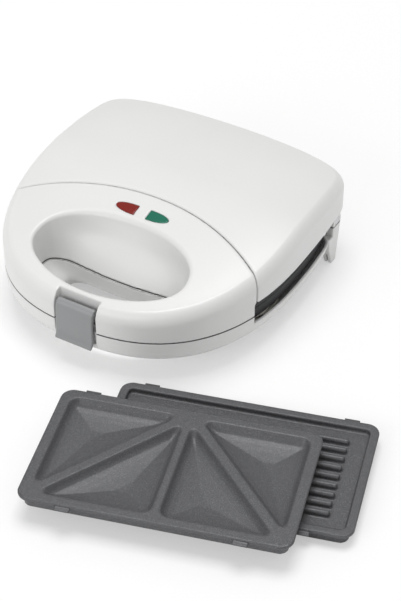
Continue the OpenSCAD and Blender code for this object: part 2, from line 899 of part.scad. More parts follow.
module sandwich_plate() {
    color(nonstick)
        difference() {
            union() {
                plate_blank();
                for (side = [0, 1]) mirror([side, 0, 0]) side_pockets(plate_t);
            }
            for (side = [0, 1]) mirror([side, 0, 0]) side_pockets(0);
        }
}

module grill_plate() {
    basin = 4.5;
    bar_l = well_w - 34;
    pitch = (well_d - 26) / grill_bars;
    color(nonstick) {
        difference() {
            union() {
                plate_blank();
                rounded_box(well_w - 1, well_d - 1, plate_r - 4, -basin - plate_t, -plate_t / 2);
            }
            rounded_box(well_w - 2 * plate_t, well_d - 2 * plate_t, plate_r - 3 - plate_t, -basin, 1);
        }
        for (k = [0:grill_bars - 1])
            translate([-bar_l / 2, (k - (grill_bars - 1) / 2) * pitch, 0])
                rotate([90, 0, 90])
                    linear_extrude(height = bar_l) {
                        translate([0, -grill_bar_w / 2]) circle(r = grill_bar_w / 2, $fn = true_round);
                        translate([-grill_bar_w / 2, -basin - 1])
                            square([grill_bar_w, basin + 1 - grill_bar_w / 2]);
                    }
    }
}

// Frame that carries a plate, with its ledge, tab slots and clip channel
module plate_frame() {
    opening_w = plate_w + 4 * clear;
    opening_d = plate_d + 4 * clear;
    through_w = well_w + 2;
    through_d = well_d + 2;
    difference() {
        translate([0, 0, -frame_low])
            linear_extrude(height = frame_h)
                intersection() {
                    translate([0, -plate_y]) polygon(frame_outline(frame_inset));
                    translate([-far / 2, frame_front - plate_y]) square([far, frame_rear - frame_front]);
                }
        rounded_box(opening_w, opening_d, plate_r + 2 * clear, -ledge, 1);
        rounded_box(through_w, through_d, plate_r - 3, -frame_low - 1, 1);
        for (side = [-1, 1]) {
            translate([side * rear_tab_x - tab_w / 2 - clear, plate_d / 2, -ledge])
                cube([tab_w + 2 * clear, rear_tab_out + 2 * clear, tab_t + clear]);
            translate([side * tab_x - tab_w / 2 - clear, -plate_d / 2 - tab_out - clear, -ledge])
                cube([tab_w + 2 * clear, tab_out + 2, ledge + 1]);
        }
        translate([-clip_bar_half - clear, clip_channel_front, -ledge - clip_t - clear])
            cube([2 * (clip_bar_half + clear), clip_channel_d, ledge + clip_t + clear + 1]);
    }
}

// Sliding clip: a bar with two hooks over the plate's front tabs and a thumb tab
module plate_clip() {
    color(black_resin) {
        translate([-clip_bar_half, clip_back - clip_bar_d, -ledge - clip_t])
            cube([2 * clip_bar_half, clip_bar_d, clip_t]);
        for (side = [-1, 1]) {
            translate([side * tab_x - hook_half, clip_back - clip_bar_d, -ledge - 0.1])
                cube([2 * hook_half, clip_bar_d, ledge + 0.1 - clip_top]);
            translate([side * tab_x - hook_half, clip_back - clip_bar_d, -clip_top - hook_t])
                cube([2 * hook_half, clip_bar_d + 2, hook_t]);
        }
        translate([-thumb_half, clip_back - clip_bar_d, -ledge - 0.1])
            cube([2 * thumb_half, clip_bar_d, ledge + 0.1 - clip_top]);
    }
}

module reflector_pan() {
    out_w = pan_in_w + 2 * pan_t;
    out_d = pan_in_d + 2 * pan_t;
    color(sheet_metal)
        difference() {
            union() {
                rounded_box(out_w + 2 * pan_lip, out_d + 2 * pan_lip, plate_r + 1,
                    -frame_low - pan_lip_t, -frame_low);
                rounded_box(out_w, out_d, plate_r - 2, -pan_floor - pan_t, -frame_low - pan_lip_t / 2);
            }
            rounded_box(pan_in_w, pan_in_d, plate_r - 2 - pan_t, -pan_floor, 1);
            for (side = [-1, 1])
                translate([pan_in_w / 2 - 5, side * tube_run, -tube_z])
                    rotate([0, 90, 0]) cylinder(r = bushing_r + fit, h = 12, $fn = true_round);
        }
}

module heating_tube() {
    color([0.35, 0.36, 0.36])
        translate([0, 0, -tube_z]) {
            for (side = [-1, 1])
                translate([tube_left, side * tube_run, 0])
                    rotate([0, 90, 0])
                        cylinder(r = tube_r, h = tube_end - tube_left, $fn = true_round);
            translate([tube_left, 0, 0])
                rotate([0, 0, 90])
                    rotate_extrude(angle = 180, $fn = true_round)
                        translate([tube_run, 0]) circle(r = tube_r, $fn = true_round);
        }
}

// Ceramic bushings that carry the tube's ends through the pan
module terminals() {
    color([0.93, 0.91, 0.86])
        for (side = [-1, 1])
            translate([bushing_x, side * tube_run, -tube_z])
                rotate([0, 90, 0])
                    difference() {
                        cylinder(r = bushing_r, h = bushing_l, $fn = true_round);
                        translate([0, 0, -1])
                            cylinder(r = tube_r + fit, h = bushing_l + 2, $fn = true_round);
                    }
}

module thermostat() {
    color(steel)
        translate([0, plate_y, meet_z - pan_floor]) {
            cylinder(r = cutout_r + cutout_rim, h = 1.2, $fn = true_round);
            cylinder(r = cutout_r, h = pan_floor - plate_low, $fn = true_round);
        }
}

// ---- Wiring ----

function unit(v) = v / norm(v);

// Direction of a lead's path at its point i
function lead_dir(points, i) =
    unit((i < len(points) - 1 ? unit(points[i + 1] - points[i]) : [0, 0, 0])
        + (i > 0 ? unit(points[i] - points[i - 1]) : [0, 0, 0]));

// Eight-sided lead swept through the points given
module lead(points, r) {
    loft([for (i = [0:len(points) - 1])
        let (d = lead_dir(points, i), u = unit(cross(d, lead_side)), v = cross(d, u))
        [for (k = [0:7]) points[i] + r * (cos(45 * k) * u + sin(45 * k) * v)]]);
}

module terminal_block() {
    color([0.85, 0.85, 0.82])
        translate([block_x - block_l / 2, block_front, block_z])
            difference() {
                cube([block_l, block_d, block_h]);
                for (k = [0:2])
                    translate([5 + 8 * k, block_d / 2, block_h - 4])
                        cylinder(r = 2.2, h = 5, $fn = true_round);
            }
}

module mains_lead() {
    color([0.9, 0.9, 0.88])
        lead([[cord_x, cord_boss_front - 0.3, cord_z], [cord_x, -58, cord_z],
            [block_x - 6, block_back + 6, cord_z], [block_x - 6, block_back + 0.1, cord_z]], lead_r);
}

// Leads from the ends of the lower tube round the frame's post to the terminal block
module lower_leads() {
    tube_height = meet_z - tube_z;
    out_x = tube_end + 2 * wire_bend;
    color([0.95, 0.93, 0.88])
        for (side = [-1, 1])
            let (y = plate_y + side * tube_run,
                z = tube_height + (side > 0 ? 3.2 : -1.5),
                in_x = block_x + 6 + side * 3,
                in_z = block_z + block_h / 2)
            lead([[tube_end + wire_start, y, tube_height],
                [tube_end + wire_bend, y, tube_height],
                [out_x, y, z],
                [out_x, -44, z],
                [tube_end - 4, -62, z],
                [in_x + 2 - side, block_back + 6, z],
                [in_x, block_back + 2, in_z],
                [in_x, block_back + 0.2, in_z]], wire_r);
}

module thermal_fuse() {
    color([0.85, 0.8, 0.7])
        translate([fuse_x, plate_y, fuse_z]) {
            translate([-fuse_plate_l / 2, -fuse_plate_d / 2, 0])
                cube([fuse_plate_l, fuse_plate_d, fuse_plate_t]);
            translate([-fuse_l / 2, 0, fuse_rise])
                rotate([0, 90, 0]) cylinder(r = fuse_r, h = fuse_l, $fn = true_round);
        }
}

// Leads of the lid: from the upper tube to the fuse and on to the lamps
module upper_leads() {
    tube_height = meet_z + tube_z;
    color([0.95, 0.93, 0.88]) {
        lead([[tube_end + wire_start, plate_y + tube_run, tube_height],
            [tube_end + wire_bend, plate_y + tube_run, tube_height],
            [tube_end + wire_bend + 0.2, plate_y + tube_run, tube_height + 6],
            [fuse_x + fuse_l / 2 + 7, plate_y, fuse_z + fuse_rise],
            [fuse_x + fuse_l / 2 + wire_start, plate_y, fuse_z + fuse_rise]], wire_r);
        lead([[tube_end + wire_start, plate_y - tube_run, tube_height],
            [tube_end + wire_bend, plate_y - tube_run, tube_height],
            [tube_end + wire_bend + 0.2, plate_y - tube_run, tube_height + 6],
            [64, -30, fuse_z + fuse_rise], [26, lens_y + 7, lens_z - 16],
            [lens_gap / 2 + 9, lens_y, lens_z + holder_z - 8.6]], wire_r);
    }
}

// ---- Upper frame and hinge ----

// Lug of the lid that turns on the hinge pin
module hinge_lug() {
    difference() {
        translate([lug_in, 0, 0])
            rotate([90, 0, 90])
                linear_extrude(height = lug_t) {
                    translate([hinge_y, hinge_z]) circle(r = lug_r, $fn = true_round);
                    translate([hinge_y - lug_r, hinge_z])
                        square([lug_r + lug_neck, flange_low - hinge_rise + 0.5]);
                }
        translate([lug_in - 1, hinge_y, hinge_z])
            rotate([0, 90, 0])
                cylinder(r = hinge_pin_r + running, h = lug_t + 2, $fn = true_round);
    }
}

module upper_frame() {
    opening_w = pan_in_w + 2 * (pan_t + pan_lip + pan_room);
    opening_d = pan_in_d + 2 * (pan_t + pan_lip + pan_room);
    color(black_resin)
        difference() {
            union() {
                upper_cell() plate_frame();
                translate([0, 0, meet_z + frame_low - 0.5])
                    linear_extrude(height = seam_z + flange_low - meet_z - frame_low + 0.6)
                        difference() {
                            intersection() {
                                polygon(frame_outline(frame_inset));
                                translate([-far / 2, frame_front])
                                    square([far, frame_rear - frame_front]);
                            }
                            translate([0, plate_y]) rounded_rect(opening_w, opening_d, plate_r + 2);
                        }
                translate([0, 0, seam_z + flange_low])
                    linear_extrude(height = flange_top - flange_low)
                        difference() {
                            intersection() {
                                polygon(lid_outline(flange_inset));
                                translate([-far / 2, frame_front]) square([far, far]);
                            }
                            translate([0, plate_y]) rounded_rect(opening_w, opening_d, plate_r + 2);
                        }
                for (side = [0, 1]) mirror([side, 0, 0]) hinge_lug();
            }
            for (p = post_places)
                translate([p[0], p[1], 0]) {
                    cylinder(r = screw_r + 0.2, h = far, $fn = true_round);
                    cylinder(r = screw_head_r + 0.2, h = meet_z + frame_top + lid_head_rise,
                        $fn = true_round);
                }
        }
}

module lower_frame() {
    color(black_resin)
        difference() {
            lower_cell() plate_frame();
            for (p = post_places)
                translate([p[0], p[1], 0])
                    cylinder(r = screw_r + fit, h = base_head_z + base_screw_l + 0.5, $fn = true_round);
        }
}

module lid_screws() {
    color(steel)
        for (p = post_places)
            translate([p[0], p[1], meet_z + frame_top + lid_head_rise]) {
                translate([0, 0, -screw_head_t])
                    difference() {
                        cylinder(r = screw_head_r, h = screw_head_t, $fn = true_round);
                        translate([0, 0, -1]) screw_cross();
                    }
                cylinder(r = screw_r, h = lid_screw_l, $fn = true_round);
            }
}

module hinge_pin(side) {
    color(steel)
        mirror([side < 0 ? 1 : 0, 0, 0]) {
            translate([lug_in, hinge_y, hinge_z])
                rotate([0, 90, 0])
                    cylinder(r = hinge_pin_r, h = ear_in + ear_t - lug_in - 0.4, $fn = true_round);
            translate([ear_in + ear_t - pin_head_t, hinge_y, hinge_z])
                rotate([0, 90, 0]) cylinder(r = pin_head_r, h = pin_head_t - 0.2, $fn = true_round);
        }
}

module fitted_plate() {
    translate([0, 0, -plate_top]) sandwich_plate();
}

// ---- Spare plates on the table ----

module spare_grill_plate() {
    translate([grill_at[0], grill_at[1], plate_h]) rotate([0, 0, spare_yaw]) grill_plate();
}

module spare_sandwich_plate() {
    translate([stack_at[0], stack_at[1], 2 * plate_h + 0.1])
        rotate([0, 0, spare_yaw]) sandwich_plate();
}

module placed() {
    translate(set_shift) children();
}

placed() lower_housing();
placed() lower_frame();
placed() lower_cell() fitted_plate();  // lower_plate
placed() lower_cell() reflector_pan();  // lower_reflector
placed() lower_cell() heating_tube();  // lower_element
placed() lower_cell() terminals();  // lower_terminals
placed() thermostat();
placed() terminal_block();
placed() mains_lead();
placed() lower_leads();
placed() cord_bushing();
placed() foot_pad(-1);  // foot_pad_left
placed() foot_pad(1);  // foot_pad_right
placed() base_screws();
placed() lower_cell() plate_clip();  // lower_clip
placed() hinge_pin(-1);  // hinge_pin_left
placed() hinge_pin(1);  // hinge_pin_right
placed() lid_cover();
placed() lid_handle();
placed() upper_frame();
placed() upper_cell() fitted_plate();  // upper_plate
placed() upper_cell() reflector_pan();  // upper_reflector
placed() upper_cell() heating_tube();  // upper_element
placed() upper_cell() terminals();  // upper_terminals
placed() thermal_fuse();
placed() upper_leads();
placed() lamp_holder();
placed() neon_lamp(-1);  // power_lamp
placed() neon_lamp(1);  // ready_lamp
placed() color([0.75, 0.16, 0.08]) lens(-1);  // red_lens
placed() color([0.05, 0.5, 0.33]) lens(1);  // green_lens
placed() lid_screws();
placed() upper_cell() plate_clip();  // upper_clip
placed() latch();
placed() latch_pin();
placed() spare_grill_plate();
placed() spare_sandwich_plate();
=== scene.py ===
"""Looks of a white sandwich toaster with a hinged lid, a snap latch and loose plates.

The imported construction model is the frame. The white mouldings, the latch, the lenses and the
plates are rebuilt here as smooth, finely meshed pieces with rounded edges, in the same places
and sizes; every other piece keeps its solid and gets its finish. Shapes are written as distance
fields in millimetres, in the toaster's own frame: x across, y from the handle to the hinge with
zero at the widest line, z up from the table.
"""

import logging
import math
from dataclasses import dataclass
from enum import Enum
from functools import cache
from typing import Callable, Sequence

import bpy
import numpy as np
from mathutils import Matrix, Vector


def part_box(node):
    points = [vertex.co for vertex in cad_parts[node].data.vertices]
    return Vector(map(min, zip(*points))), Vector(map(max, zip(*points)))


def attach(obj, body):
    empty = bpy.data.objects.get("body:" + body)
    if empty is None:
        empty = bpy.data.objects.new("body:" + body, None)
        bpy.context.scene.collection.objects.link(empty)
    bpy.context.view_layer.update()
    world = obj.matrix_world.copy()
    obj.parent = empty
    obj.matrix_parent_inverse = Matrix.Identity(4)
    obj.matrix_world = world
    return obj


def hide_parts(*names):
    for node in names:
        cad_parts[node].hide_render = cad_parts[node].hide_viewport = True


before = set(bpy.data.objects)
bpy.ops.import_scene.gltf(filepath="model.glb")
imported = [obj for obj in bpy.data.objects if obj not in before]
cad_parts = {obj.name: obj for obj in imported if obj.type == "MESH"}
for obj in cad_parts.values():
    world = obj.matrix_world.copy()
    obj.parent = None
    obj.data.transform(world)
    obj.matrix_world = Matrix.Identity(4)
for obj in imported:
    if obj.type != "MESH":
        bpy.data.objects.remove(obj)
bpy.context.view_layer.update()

log = logging.getLogger("sandwich_toaster")

Values = np.ndarray
Shape = Callable[[Values, Values, Values], Values]
Point = tuple[float, float, float]
Colour = tuple[float, float, float]
Corner = tuple[float, float]
Span = tuple[float, float]
Socket = bpy.types.NodeSocket

MM = 0.001
# Sizes that several pieces share, in millimetres: the height of the parting seam, the thickness of
# the white walls, half of the housing's width and the lid's reach to the rear.
SEAM = 38.0
WALL = 2.5
HALF_WIDTH = 125.0
LID_REAR = 113.0
# Front end of the side openings, and of the room for the plate frames behind the hand opening.
STRIP_FRONT = -62.6
BAY_FRONT = -67.0
# Half widths of the latch's notch and of the block of wall round it, and the block's rear.
NOTCH_HALF = 19.5
BLOCK_HALF = 23.5
BLOCK_REAR = -132.5


class Body(Enum):
    """Moving groups of the construction model."""

    BASE = "base"
    LID = "lid"
    LATCH = "latch"
    GRILL = "spare_grill"
    SANDWICH = "spare_sandwich"


class Side(Enum):
    """Left or right of the toaster's middle plane."""

    LEFT = -1
    RIGHT = 1


# ---- Distance fields ----


def round_both(a: Values, b: Values, radius: float) -> Values:
    """Common part of two fields, with a rounded outer edge.

    Args:
        a: First field, negative inside.
        b: Second field, negative inside.
        radius: Radius of the edge where the two meet.

    Returns:
        Field that is negative where both are.
    """
    far_a = np.maximum(a + radius, 0.0)
    far_b = np.maximum(b + radius, 0.0)
    return np.minimum(np.maximum(a, b), -radius) + np.sqrt(far_a * far_a + far_b * far_b)


def round_either(a: Values, b: Values, radius: float) -> Values:
    """Union of two fields, with a fillet of a radius in the inner corner."""
    return -round_both(-a, -b, radius)


def box_2d(u: Values, v: Values, half_u: float, half_v: float, corner: float) -> Values:
    """Distance to a rounded rectangle about the origin.

    Args:
        u: First coordinate.
        v: Second coordinate.
        half_u: Half of its size along u.
        half_v: Half of its size along v.
        corner: Radius of its corners.

    Returns:
        Signed distance.
    """
    du = np.abs(u) - half_u + corner
    dv = np.abs(v) - half_v + corner
    outside = np.sqrt(np.maximum(du, 0.0) ** 2 + np.maximum(dv, 0.0) ** 2)
    return outside + np.minimum(np.maximum(du, dv), 0.0) - corner


def between(value: Values, low: float, high: float) -> Values:
    """Distance to the slab from low to high, negative inside it."""
    return np.abs(value - (low + high) / 2) - (high - low) / 2


def polygon_2d(u: Values, v: Values, corners: Sequence[Corner]) -> Values:
    """Distance to a closed polygon.

    Args:
        u: First coordinate.
        v: Second coordinate.
        corners: Its corners in order.

    Returns:
        Signed distance, negative inside.
    """
    u, v = np.broadcast_arrays(u, v)
    nearest = np.full(u.shape, 1e12)
    sign = np.ones(u.shape)
    count = len(corners)
    for k in range(count):
        au, av = corners[k]
        bu, bv = corners[(k + 1) % count]
        eu, ev = bu - au, bv - av
        share = np.clip(((u - au) * eu + (v - av) * ev) / (eu * eu + ev * ev), 0.0, 1.0)
        du = u - au - eu * share
        dv = v - av - ev * share
        nearest = np.minimum(nearest, du * du + dv * dv)
        crosses = ((av > v) != (bv > v)) & (u < eu * (v - av) / (ev if ev else 1e-9) + au)
        sign = np.where(crosses, -sign, sign)
    return sign * np.sqrt(nearest)


def softened(corners: Sequence[Corner], rounds: int) -> list[Corner]:
    """Cuts the corners of a closed polygon again and again, so that it turns into a soft curve.

    Args:
        corners: Corners in order.
        rounds: How often each corner is cut.

    Returns:
        Corners of the softer polygon.
    """
    points = list(corners)
    for _ in range(rounds):
        cut: list[Corner] = []
        for (au, av), (bu, bv) in zip(points, points[1:] + points[:1]):
            cut.append((0.8 * au + 0.2 * bu, 0.8 * av + 0.2 * bv))
            cut.append((0.2 * au + 0.8 * bu, 0.2 * av + 0.8 * bv))
        points = cut
    return points


# ---- Meshing of a field ----


@dataclass(frozen=True)
class Block:
    """Block of space that a shape is meshed in.

    Attributes:
        low: Lowest corner in millimetres.
        high: Highest corner in millimetres.
        step: Size of one cell in millimetres.
    """

    low: Point
    high: Point
    step: float

    def axes(self) -> list[Values]:
        """Gives the sample positions along x, y and z."""
        step, ends = self.step, zip(self.low, self.high)
        return [np.arange(low - 1.37 * step, high + 1.9 * step, step) for low, high in ends]


@dataclass
class Skin:
    """Closed mesh of a shape's surface, in millimetres.

    Attributes:
        points: Corner positions, one row each.
        quads: Corner numbers of each face, anticlockwise from outside.
        normals: Outward unit direction at each corner.
    """

    points: Values
    quads: Values
    normals: Values


CORNERS = np.array([[a, b, c] for a in (0, 1) for b in (0, 1) for c in (0, 1)])


def slope(shape: Shape, points: Values, reach: float) -> Values:
    """Direction in which a shape's field grows.

    Args:
        shape: The field.
        points: Positions, one row each.
        reach: Half of the distance over which it is measured.

    Returns:
        Gradient at each position.
    """
    found = np.empty_like(points)
    for axis in range(3):
        ahead, behind = points.copy(), points.copy()
        ahead[:, axis] += reach
        behind[:, axis] -= reach
        found[:, axis] = (shape(*ahead.T) - shape(*behind.T)) / (2 * reach)
    return found


def skin_of(shape: Shape, block: Block) -> Skin:
    """Meshes the surface where a shape's field is zero.

    Args:
        shape: The field, negative inside.
        block: The space to mesh and the size of a cell.

    Returns:
        The surface as quads that lie on the field's zero level.
    """
    x, y, z = block.axes()
    size = (len(x), len(y), len(z))
    level = np.broadcast_to(shape(x[:, None, None], y[None, :, None], z[None, None, :]), size)
    inside = level < 0
    near, far = slice(None, -1), slice(1, None)
    parts = [inside[tuple(far if bit else near for bit in corner)] for corner in CORNERS]
    count = sum(part.astype(np.uint8) for part in parts)
    cells = np.argwhere((count > 0) & (count < 8))
    number = np.full(count.shape, -1, np.int64)
    number[tuple(cells.T)] = np.arange(len(cells))
    origin = np.array([x[0], y[0], z[0]])
    unit = np.eye(3, dtype=int)
    quads: list[Values] = []
    spots: list[Values] = []
    for axis in range(3):
        along, across = (axis + 1) % 3, (axis + 2) % 3
        here = [slice(None)] * 3
        here[axis] = near
        there = list(here)
        there[axis] = far
        first, second = inside[tuple(here)], inside[tuple(there)]
        for leaving in (True, False):
            grid = np.argwhere((first & ~second) if leaving else (~first & second))
            for other in (along, across):
                grid = grid[(grid[:, other] > 0) & (grid[:, other] < size[other] - 1)]
            start, end = level[tuple(grid.T)], level[tuple((grid + unit[axis]).T)]
            spots.append(origin + (grid + (start / (start - end))[:, None] * unit[axis]) * block.step)
            ring = [grid - unit[along] - unit[across], grid - unit[across], grid, grid - unit[along]]
            ring = ring if leaving else ring[::-1]
            quads.append(np.stack([number[tuple(cell.T)] for cell in ring], axis=1))
    faces, spot = np.concatenate(quads), np.concatenate(spots)
    points = settle(shape, spot, faces, len(cells), block.step)
    return Skin(points, faces, unit_rows(slope(shape, points, 0.3 * block.step)))


def unit_rows(rows: Values) -> Values:
    """Brings each row of an array to length 1."""
    return rows / np.sqrt(np.maximum((rows * rows).sum(axis=1), 1e-12))[:, None]


def settle(shape: Shape, spots: Values, faces: Values, count: int, step: float) -> Values:
    """Puts each cell's corner where the tangent planes round it meet, so that edges stay crisp.

    Args:
        shape: The field.
        spots: Where the grid's edges cut the surface, one row for each face.
        faces: Numbers of the four cells round each spot.
        count: Number of cells.
        step: Size of a cell.

    Returns:
        One position for each cell.
    """
    flat = faces.ravel()
    hits = np.maximum(np.bincount(flat, minlength=count), 1)

    def gather(values: Values) -> Values:
        """Adds up a value of the spots round each cell."""
        return np.bincount(flat, np.repeat(values, 4), count)

    normal = unit_rows(slope(shape, spots, 0.12 * step))
    middle = np.stack([gather(spots[:, k]) for k in range(3)], axis=1) / hits[:, None]
    matrix = np.empty((count, 3, 3))
    for a in range(3):
        for b in range(a, 3):
            matrix[:, a, b] = matrix[:, b, a] = gather(normal[:, a] * normal[:, b])
    height = (normal * spots).sum(axis=1)
    right = np.stack([gather(normal[:, k] * height) for k in range(3)], axis=1)
    right -= (matrix @ middle[:, :, None])[:, :, 0]
    matrix += 0.02 * hits[:, None, None] * np.eye(3)
    move = np.linalg.solve(matrix, right[:, :, None])[:, :, 0]
    length = np.sqrt((move * move).sum(axis=1))
    points = middle + move * np.minimum(1.0, 0.8 * step / np.maximum(length, 1e-9))[:, None]
    for _ in range(2):
        grow = slope(shape, points, 0.1 * step)
        steep = np.maximum((grow * grow).sum(axis=1), 0.04)
        fall = np.clip(-shape(*points.T) / np.sqrt(steep), -0.3 * step, 0.3 * step)
        points = points + unit_rows(grow) * fall[:, None]
    return points


# ---- Finishes ----


NOTHING: Colour = (0.0, 0.0, 0.0)
WHOLE: Colour = (1.0, 1.0, 1.0)
VECTORS = "ShaderNodeVectorMath"


class Nodes:
    """Short way to write a procedural material's node tree."""

    def __init__(self, name: str) -> None:
        """Makes an empty material.

        Args:
            name: Name of the material.
        """
        self.material = bpy.data.materials.new(name)
        self.material.use_nodes = True
        self.tree = self.material.node_tree
        self.shader = self.tree.nodes["Principled BSDF"]

    def put(self, value: object, target: Socket) -> None:
        """Joins an output to an input, or sets the input to a plain value.

        Args:
            value: The output of another node, or the value.
            target: The input.
        """
        if isinstance(value, Socket):
            self.tree.links.new(value, target)
        else:
            target.default_value = value

    def fill(self, node: bpy.types.Node, **settings: object) -> bpy.types.Node:
        """Sets a node's attributes and inputs.

        Args:
            node: The node.
            **settings: Attributes by name, and outputs or values for its inputs, with underscores
                for the spaces in an input's name.

        Returns:
            The node.
        """
        for key, value in settings.items():
            name = key.replace("_", " ")
            if name in node.inputs:
                self.put(value, node.inputs[name])
            else:
                setattr(node, key, value)
        return node

    def add(self, kind: str, **settings: object) -> bpy.types.Node:
        """Adds a node of one of Blender's types and fills it."""
        return self.fill(self.tree.nodes.new(kind), **settings)

    def compute(self, operation: str, *values: Socket | float, kind: str = "ShaderNodeMath") -> Socket:
        """Adds a node that computes.

        Args:
            operation: What it does.
            *values: What goes into its inputs, in order.
            kind: Blender's name of the node type.

        Returns:
            Its result.
        """
        node = self.add(kind, operation=operation)
        for value, target in zip(values, node.inputs):
            self.put(value, target)
        return node.outputs[0]

    def place(self, output: str = "Object") -> Socket:
        """Gives the piece's own coordinates in metres, or another output of their node."""
        return self.add("ShaderNodeTexCoord").outputs[output]

    def noise(self, scale: float, detail: float = 3.0, rough: float = 0.5) -> Socket:
        """Adds cloudy noise.

        Args:
            scale: Waves to the metre.
            detail: Number of finer layers.
            rough: Weight of the finer layers.

        Returns:
            Its strength from 0 to 1.
        """
        place = self.place()
        node = self.add("ShaderNodeTexNoise", Vector=place, Scale=scale, Detail=detail, Roughness=rough)
        return node.outputs["Fac"]

    def ramp(self, source: Socket, stops: Sequence[tuple[float, Colour]]) -> Socket:
        """Turns a strength into colours.

        Args:
            source: The strength.
            stops: Positions from 0 to 1 with their colours.

        Returns:
            The colour.
        """
        node = self.add("ShaderNodeValToRGB", Fac=source)
        points = node.color_ramp.elements
        while len(points) < len(stops):
            points.new(0.5)
        for point, (position, colour) in zip(points, stops):
            point.position = position
            point.color = (*colour, 1.0)
        return node.outputs["Color"]

    def surface(self, colour: Socket, fine: Socket, roughness: Span, strength: float, depth: float) -> None:
        """Gives the shader a colour, and a fine relief that the roughness follows.

        Args:
            colour: The colour.
            fine: The relief's height, mostly from 0.3 to 0.7.
            roughness: Roughness at a height of 0.3 and of 0.7.
            strength: Share of the relief that is used.
            depth: Its full height in metres.
        """
        rough = self.add("ShaderNodeMapRange", Value=fine, From_Min=0.3, From_Max=0.7)
        self.fill(rough, To_Min=roughness[0], To_Max=roughness[1])
        bump = self.add("ShaderNodeBump", Height=fine, Strength=strength, Distance=depth)
        self.fill(
            self.shader, Base_Color=colour, Roughness=rough.outputs["Result"], Normal=bump.outputs["Normal"]
        )

    def paint_seam_shade(self, colour: Socket, reach: float) -> Socket:
        """Paints shade into a colour along the parting seam: a dark band on the lips, which the faces between
        the lips escape only while the seam is open and ambient occlusion finds no other surface close.

        Args:
            colour: The colour.
            reach: How far the painted shade reaches from the seam's middle, in metres.

        Returns:
            The colour with its painted shade.
        """
        height, upright = (
            self.add("ShaderNodeSeparateXYZ", Vector=self.place(output)).outputs["Z"]
            for output in ("Object", "Normal")
        )
        away = self.compute("ABSOLUTE", self.compute("SUBTRACT", height, SEAM * MM))
        # Painted shade: a dark band on the lips, within the reach of the seam's middle.
        lips = self.ramp(self.compute("DIVIDE", away, reach), [(0.6, (0.12, 0.12, 0.12)), (1.0, WHOLE)])
        faces = self.ramp(self.compute("ABSOLUTE", upright), [(0.8, NOTHING), (0.95, WHOLE)])
        # The faces between the lips lose the painted shade only where ambient occlusion finds no other
        # surface within 2 mm, that is while the lid is open.
        near = self.add("ShaderNodeAmbientOcclusion", samples=4, Distance=0.002)
        free = self.ramp(near.outputs["AO"], [(0.6, NOTHING), (0.9, WHOLE)])
        opened = self.compute("MULTIPLY", faces, free, kind=VECTORS)
        light = self.compute("MAXIMUM", lips, opened, kind=VECTORS)
        return self.compute("MULTIPLY", colour, light, kind=VECTORS)


def darker(colour: Colour, share: float) -> Colour:
    """Multiplies each channel of a colour by a share."""
    return tuple(channel * share for channel in colour)


@dataclass(frozen=True)
class Moulded:
    """Injection-moulded or pressed material with a fine grain and slight cloudiness.

    Attributes:
        name: Name of the finish.
        slot: The record's material slot that it belongs to; not used.
        colour: Its colour.
        shade: How much darker its darkest clouds are, as a factor.
        roughness: Its roughness where it is smoothest and where it is roughest.
        grain: Grains to the metre.
        relief: Height of the grain in metres.
        coat: Weight of a clear gloss layer.
        metal: How metallic it is.
        transmission: Share of the light that passes through.
        glow: Strength of its own light.
        lip: Half height in metres of the painted shade in the parting seam, 0 for none.
    """

    name: str
    slot: str
    colour: Colour
    shade: float
    roughness: Span
    grain: float
    relief: float
    coat: float = 0.0
    metal: float = 0.0
    transmission: float = 0.0
    glow: float = 0.0
    lip: float = 0.0

    def material(self) -> bpy.types.Material:
        """Makes the node tree of the finish.

        Returns:
            The material.
        """
        nodes = Nodes(self.name)
        stops = [(0.35, darker(self.colour, self.shade)), (0.65, self.colour)]
        colour = nodes.ramp(nodes.noise(14.0, 2.0), stops)
        # Painted shade along the parting seam.
        if self.lip:
            colour = nodes.paint_seam_shade(colour, self.lip)
        nodes.surface(colour, nodes.noise(self.grain, 2.0, 0.6), self.roughness, 0.35, self.relief)
        nodes.fill(nodes.shader, Metallic=self.metal, Coat_Weight=self.coat, Coat_Roughness=0.12)
        if self.transmission:
            nodes.fill(nodes.shader, Transmission_Weight=self.transmission, IOR=1.49)
        if self.glow:
            nodes.fill(nodes.shader, Emission_Color=(*self.colour, 1.0), Emission_Strength=self.glow)
        return nodes.material


@dataclass(frozen=True)
class Nonstick:
    """Cast plate with a dark coat full of fine pale and dark specks.

    Attributes:
        name: Name of the finish.
        slot: The record's material slot that it belongs to; not used.
        colour: Colour of the coat.
        fleck: Colour of the pale specks.
    """

    name: str = "nonstick_coat"
    slot: str = "nonstick"
    colour: Colour = (0.095, 0.096, 0.101)
    fleck: Colour = (0.24, 0.24, 0.25)

    def material(self) -> bpy.types.Material:
        """Makes the node tree of the finish.

        Returns:
            The material.
        """
        nodes = Nodes(self.name)
        dark = darker(self.colour, 0.6)
        stops = [(0.36, dark), (0.45, self.colour), (0.6, self.colour), (0.7, self.fleck)]
        colour = nodes.ramp(nodes.noise(2600.0, 1.0), stops)
        nodes.surface(colour, nodes.noise(700.0, 3.0, 0.6), (0.38, 0.56), 0.4, 0.00004)
        nodes.fill(nodes.shader, Metallic=0.25, Coat_Weight=0.08, Coat_Roughness=0.3)
        return nodes.material


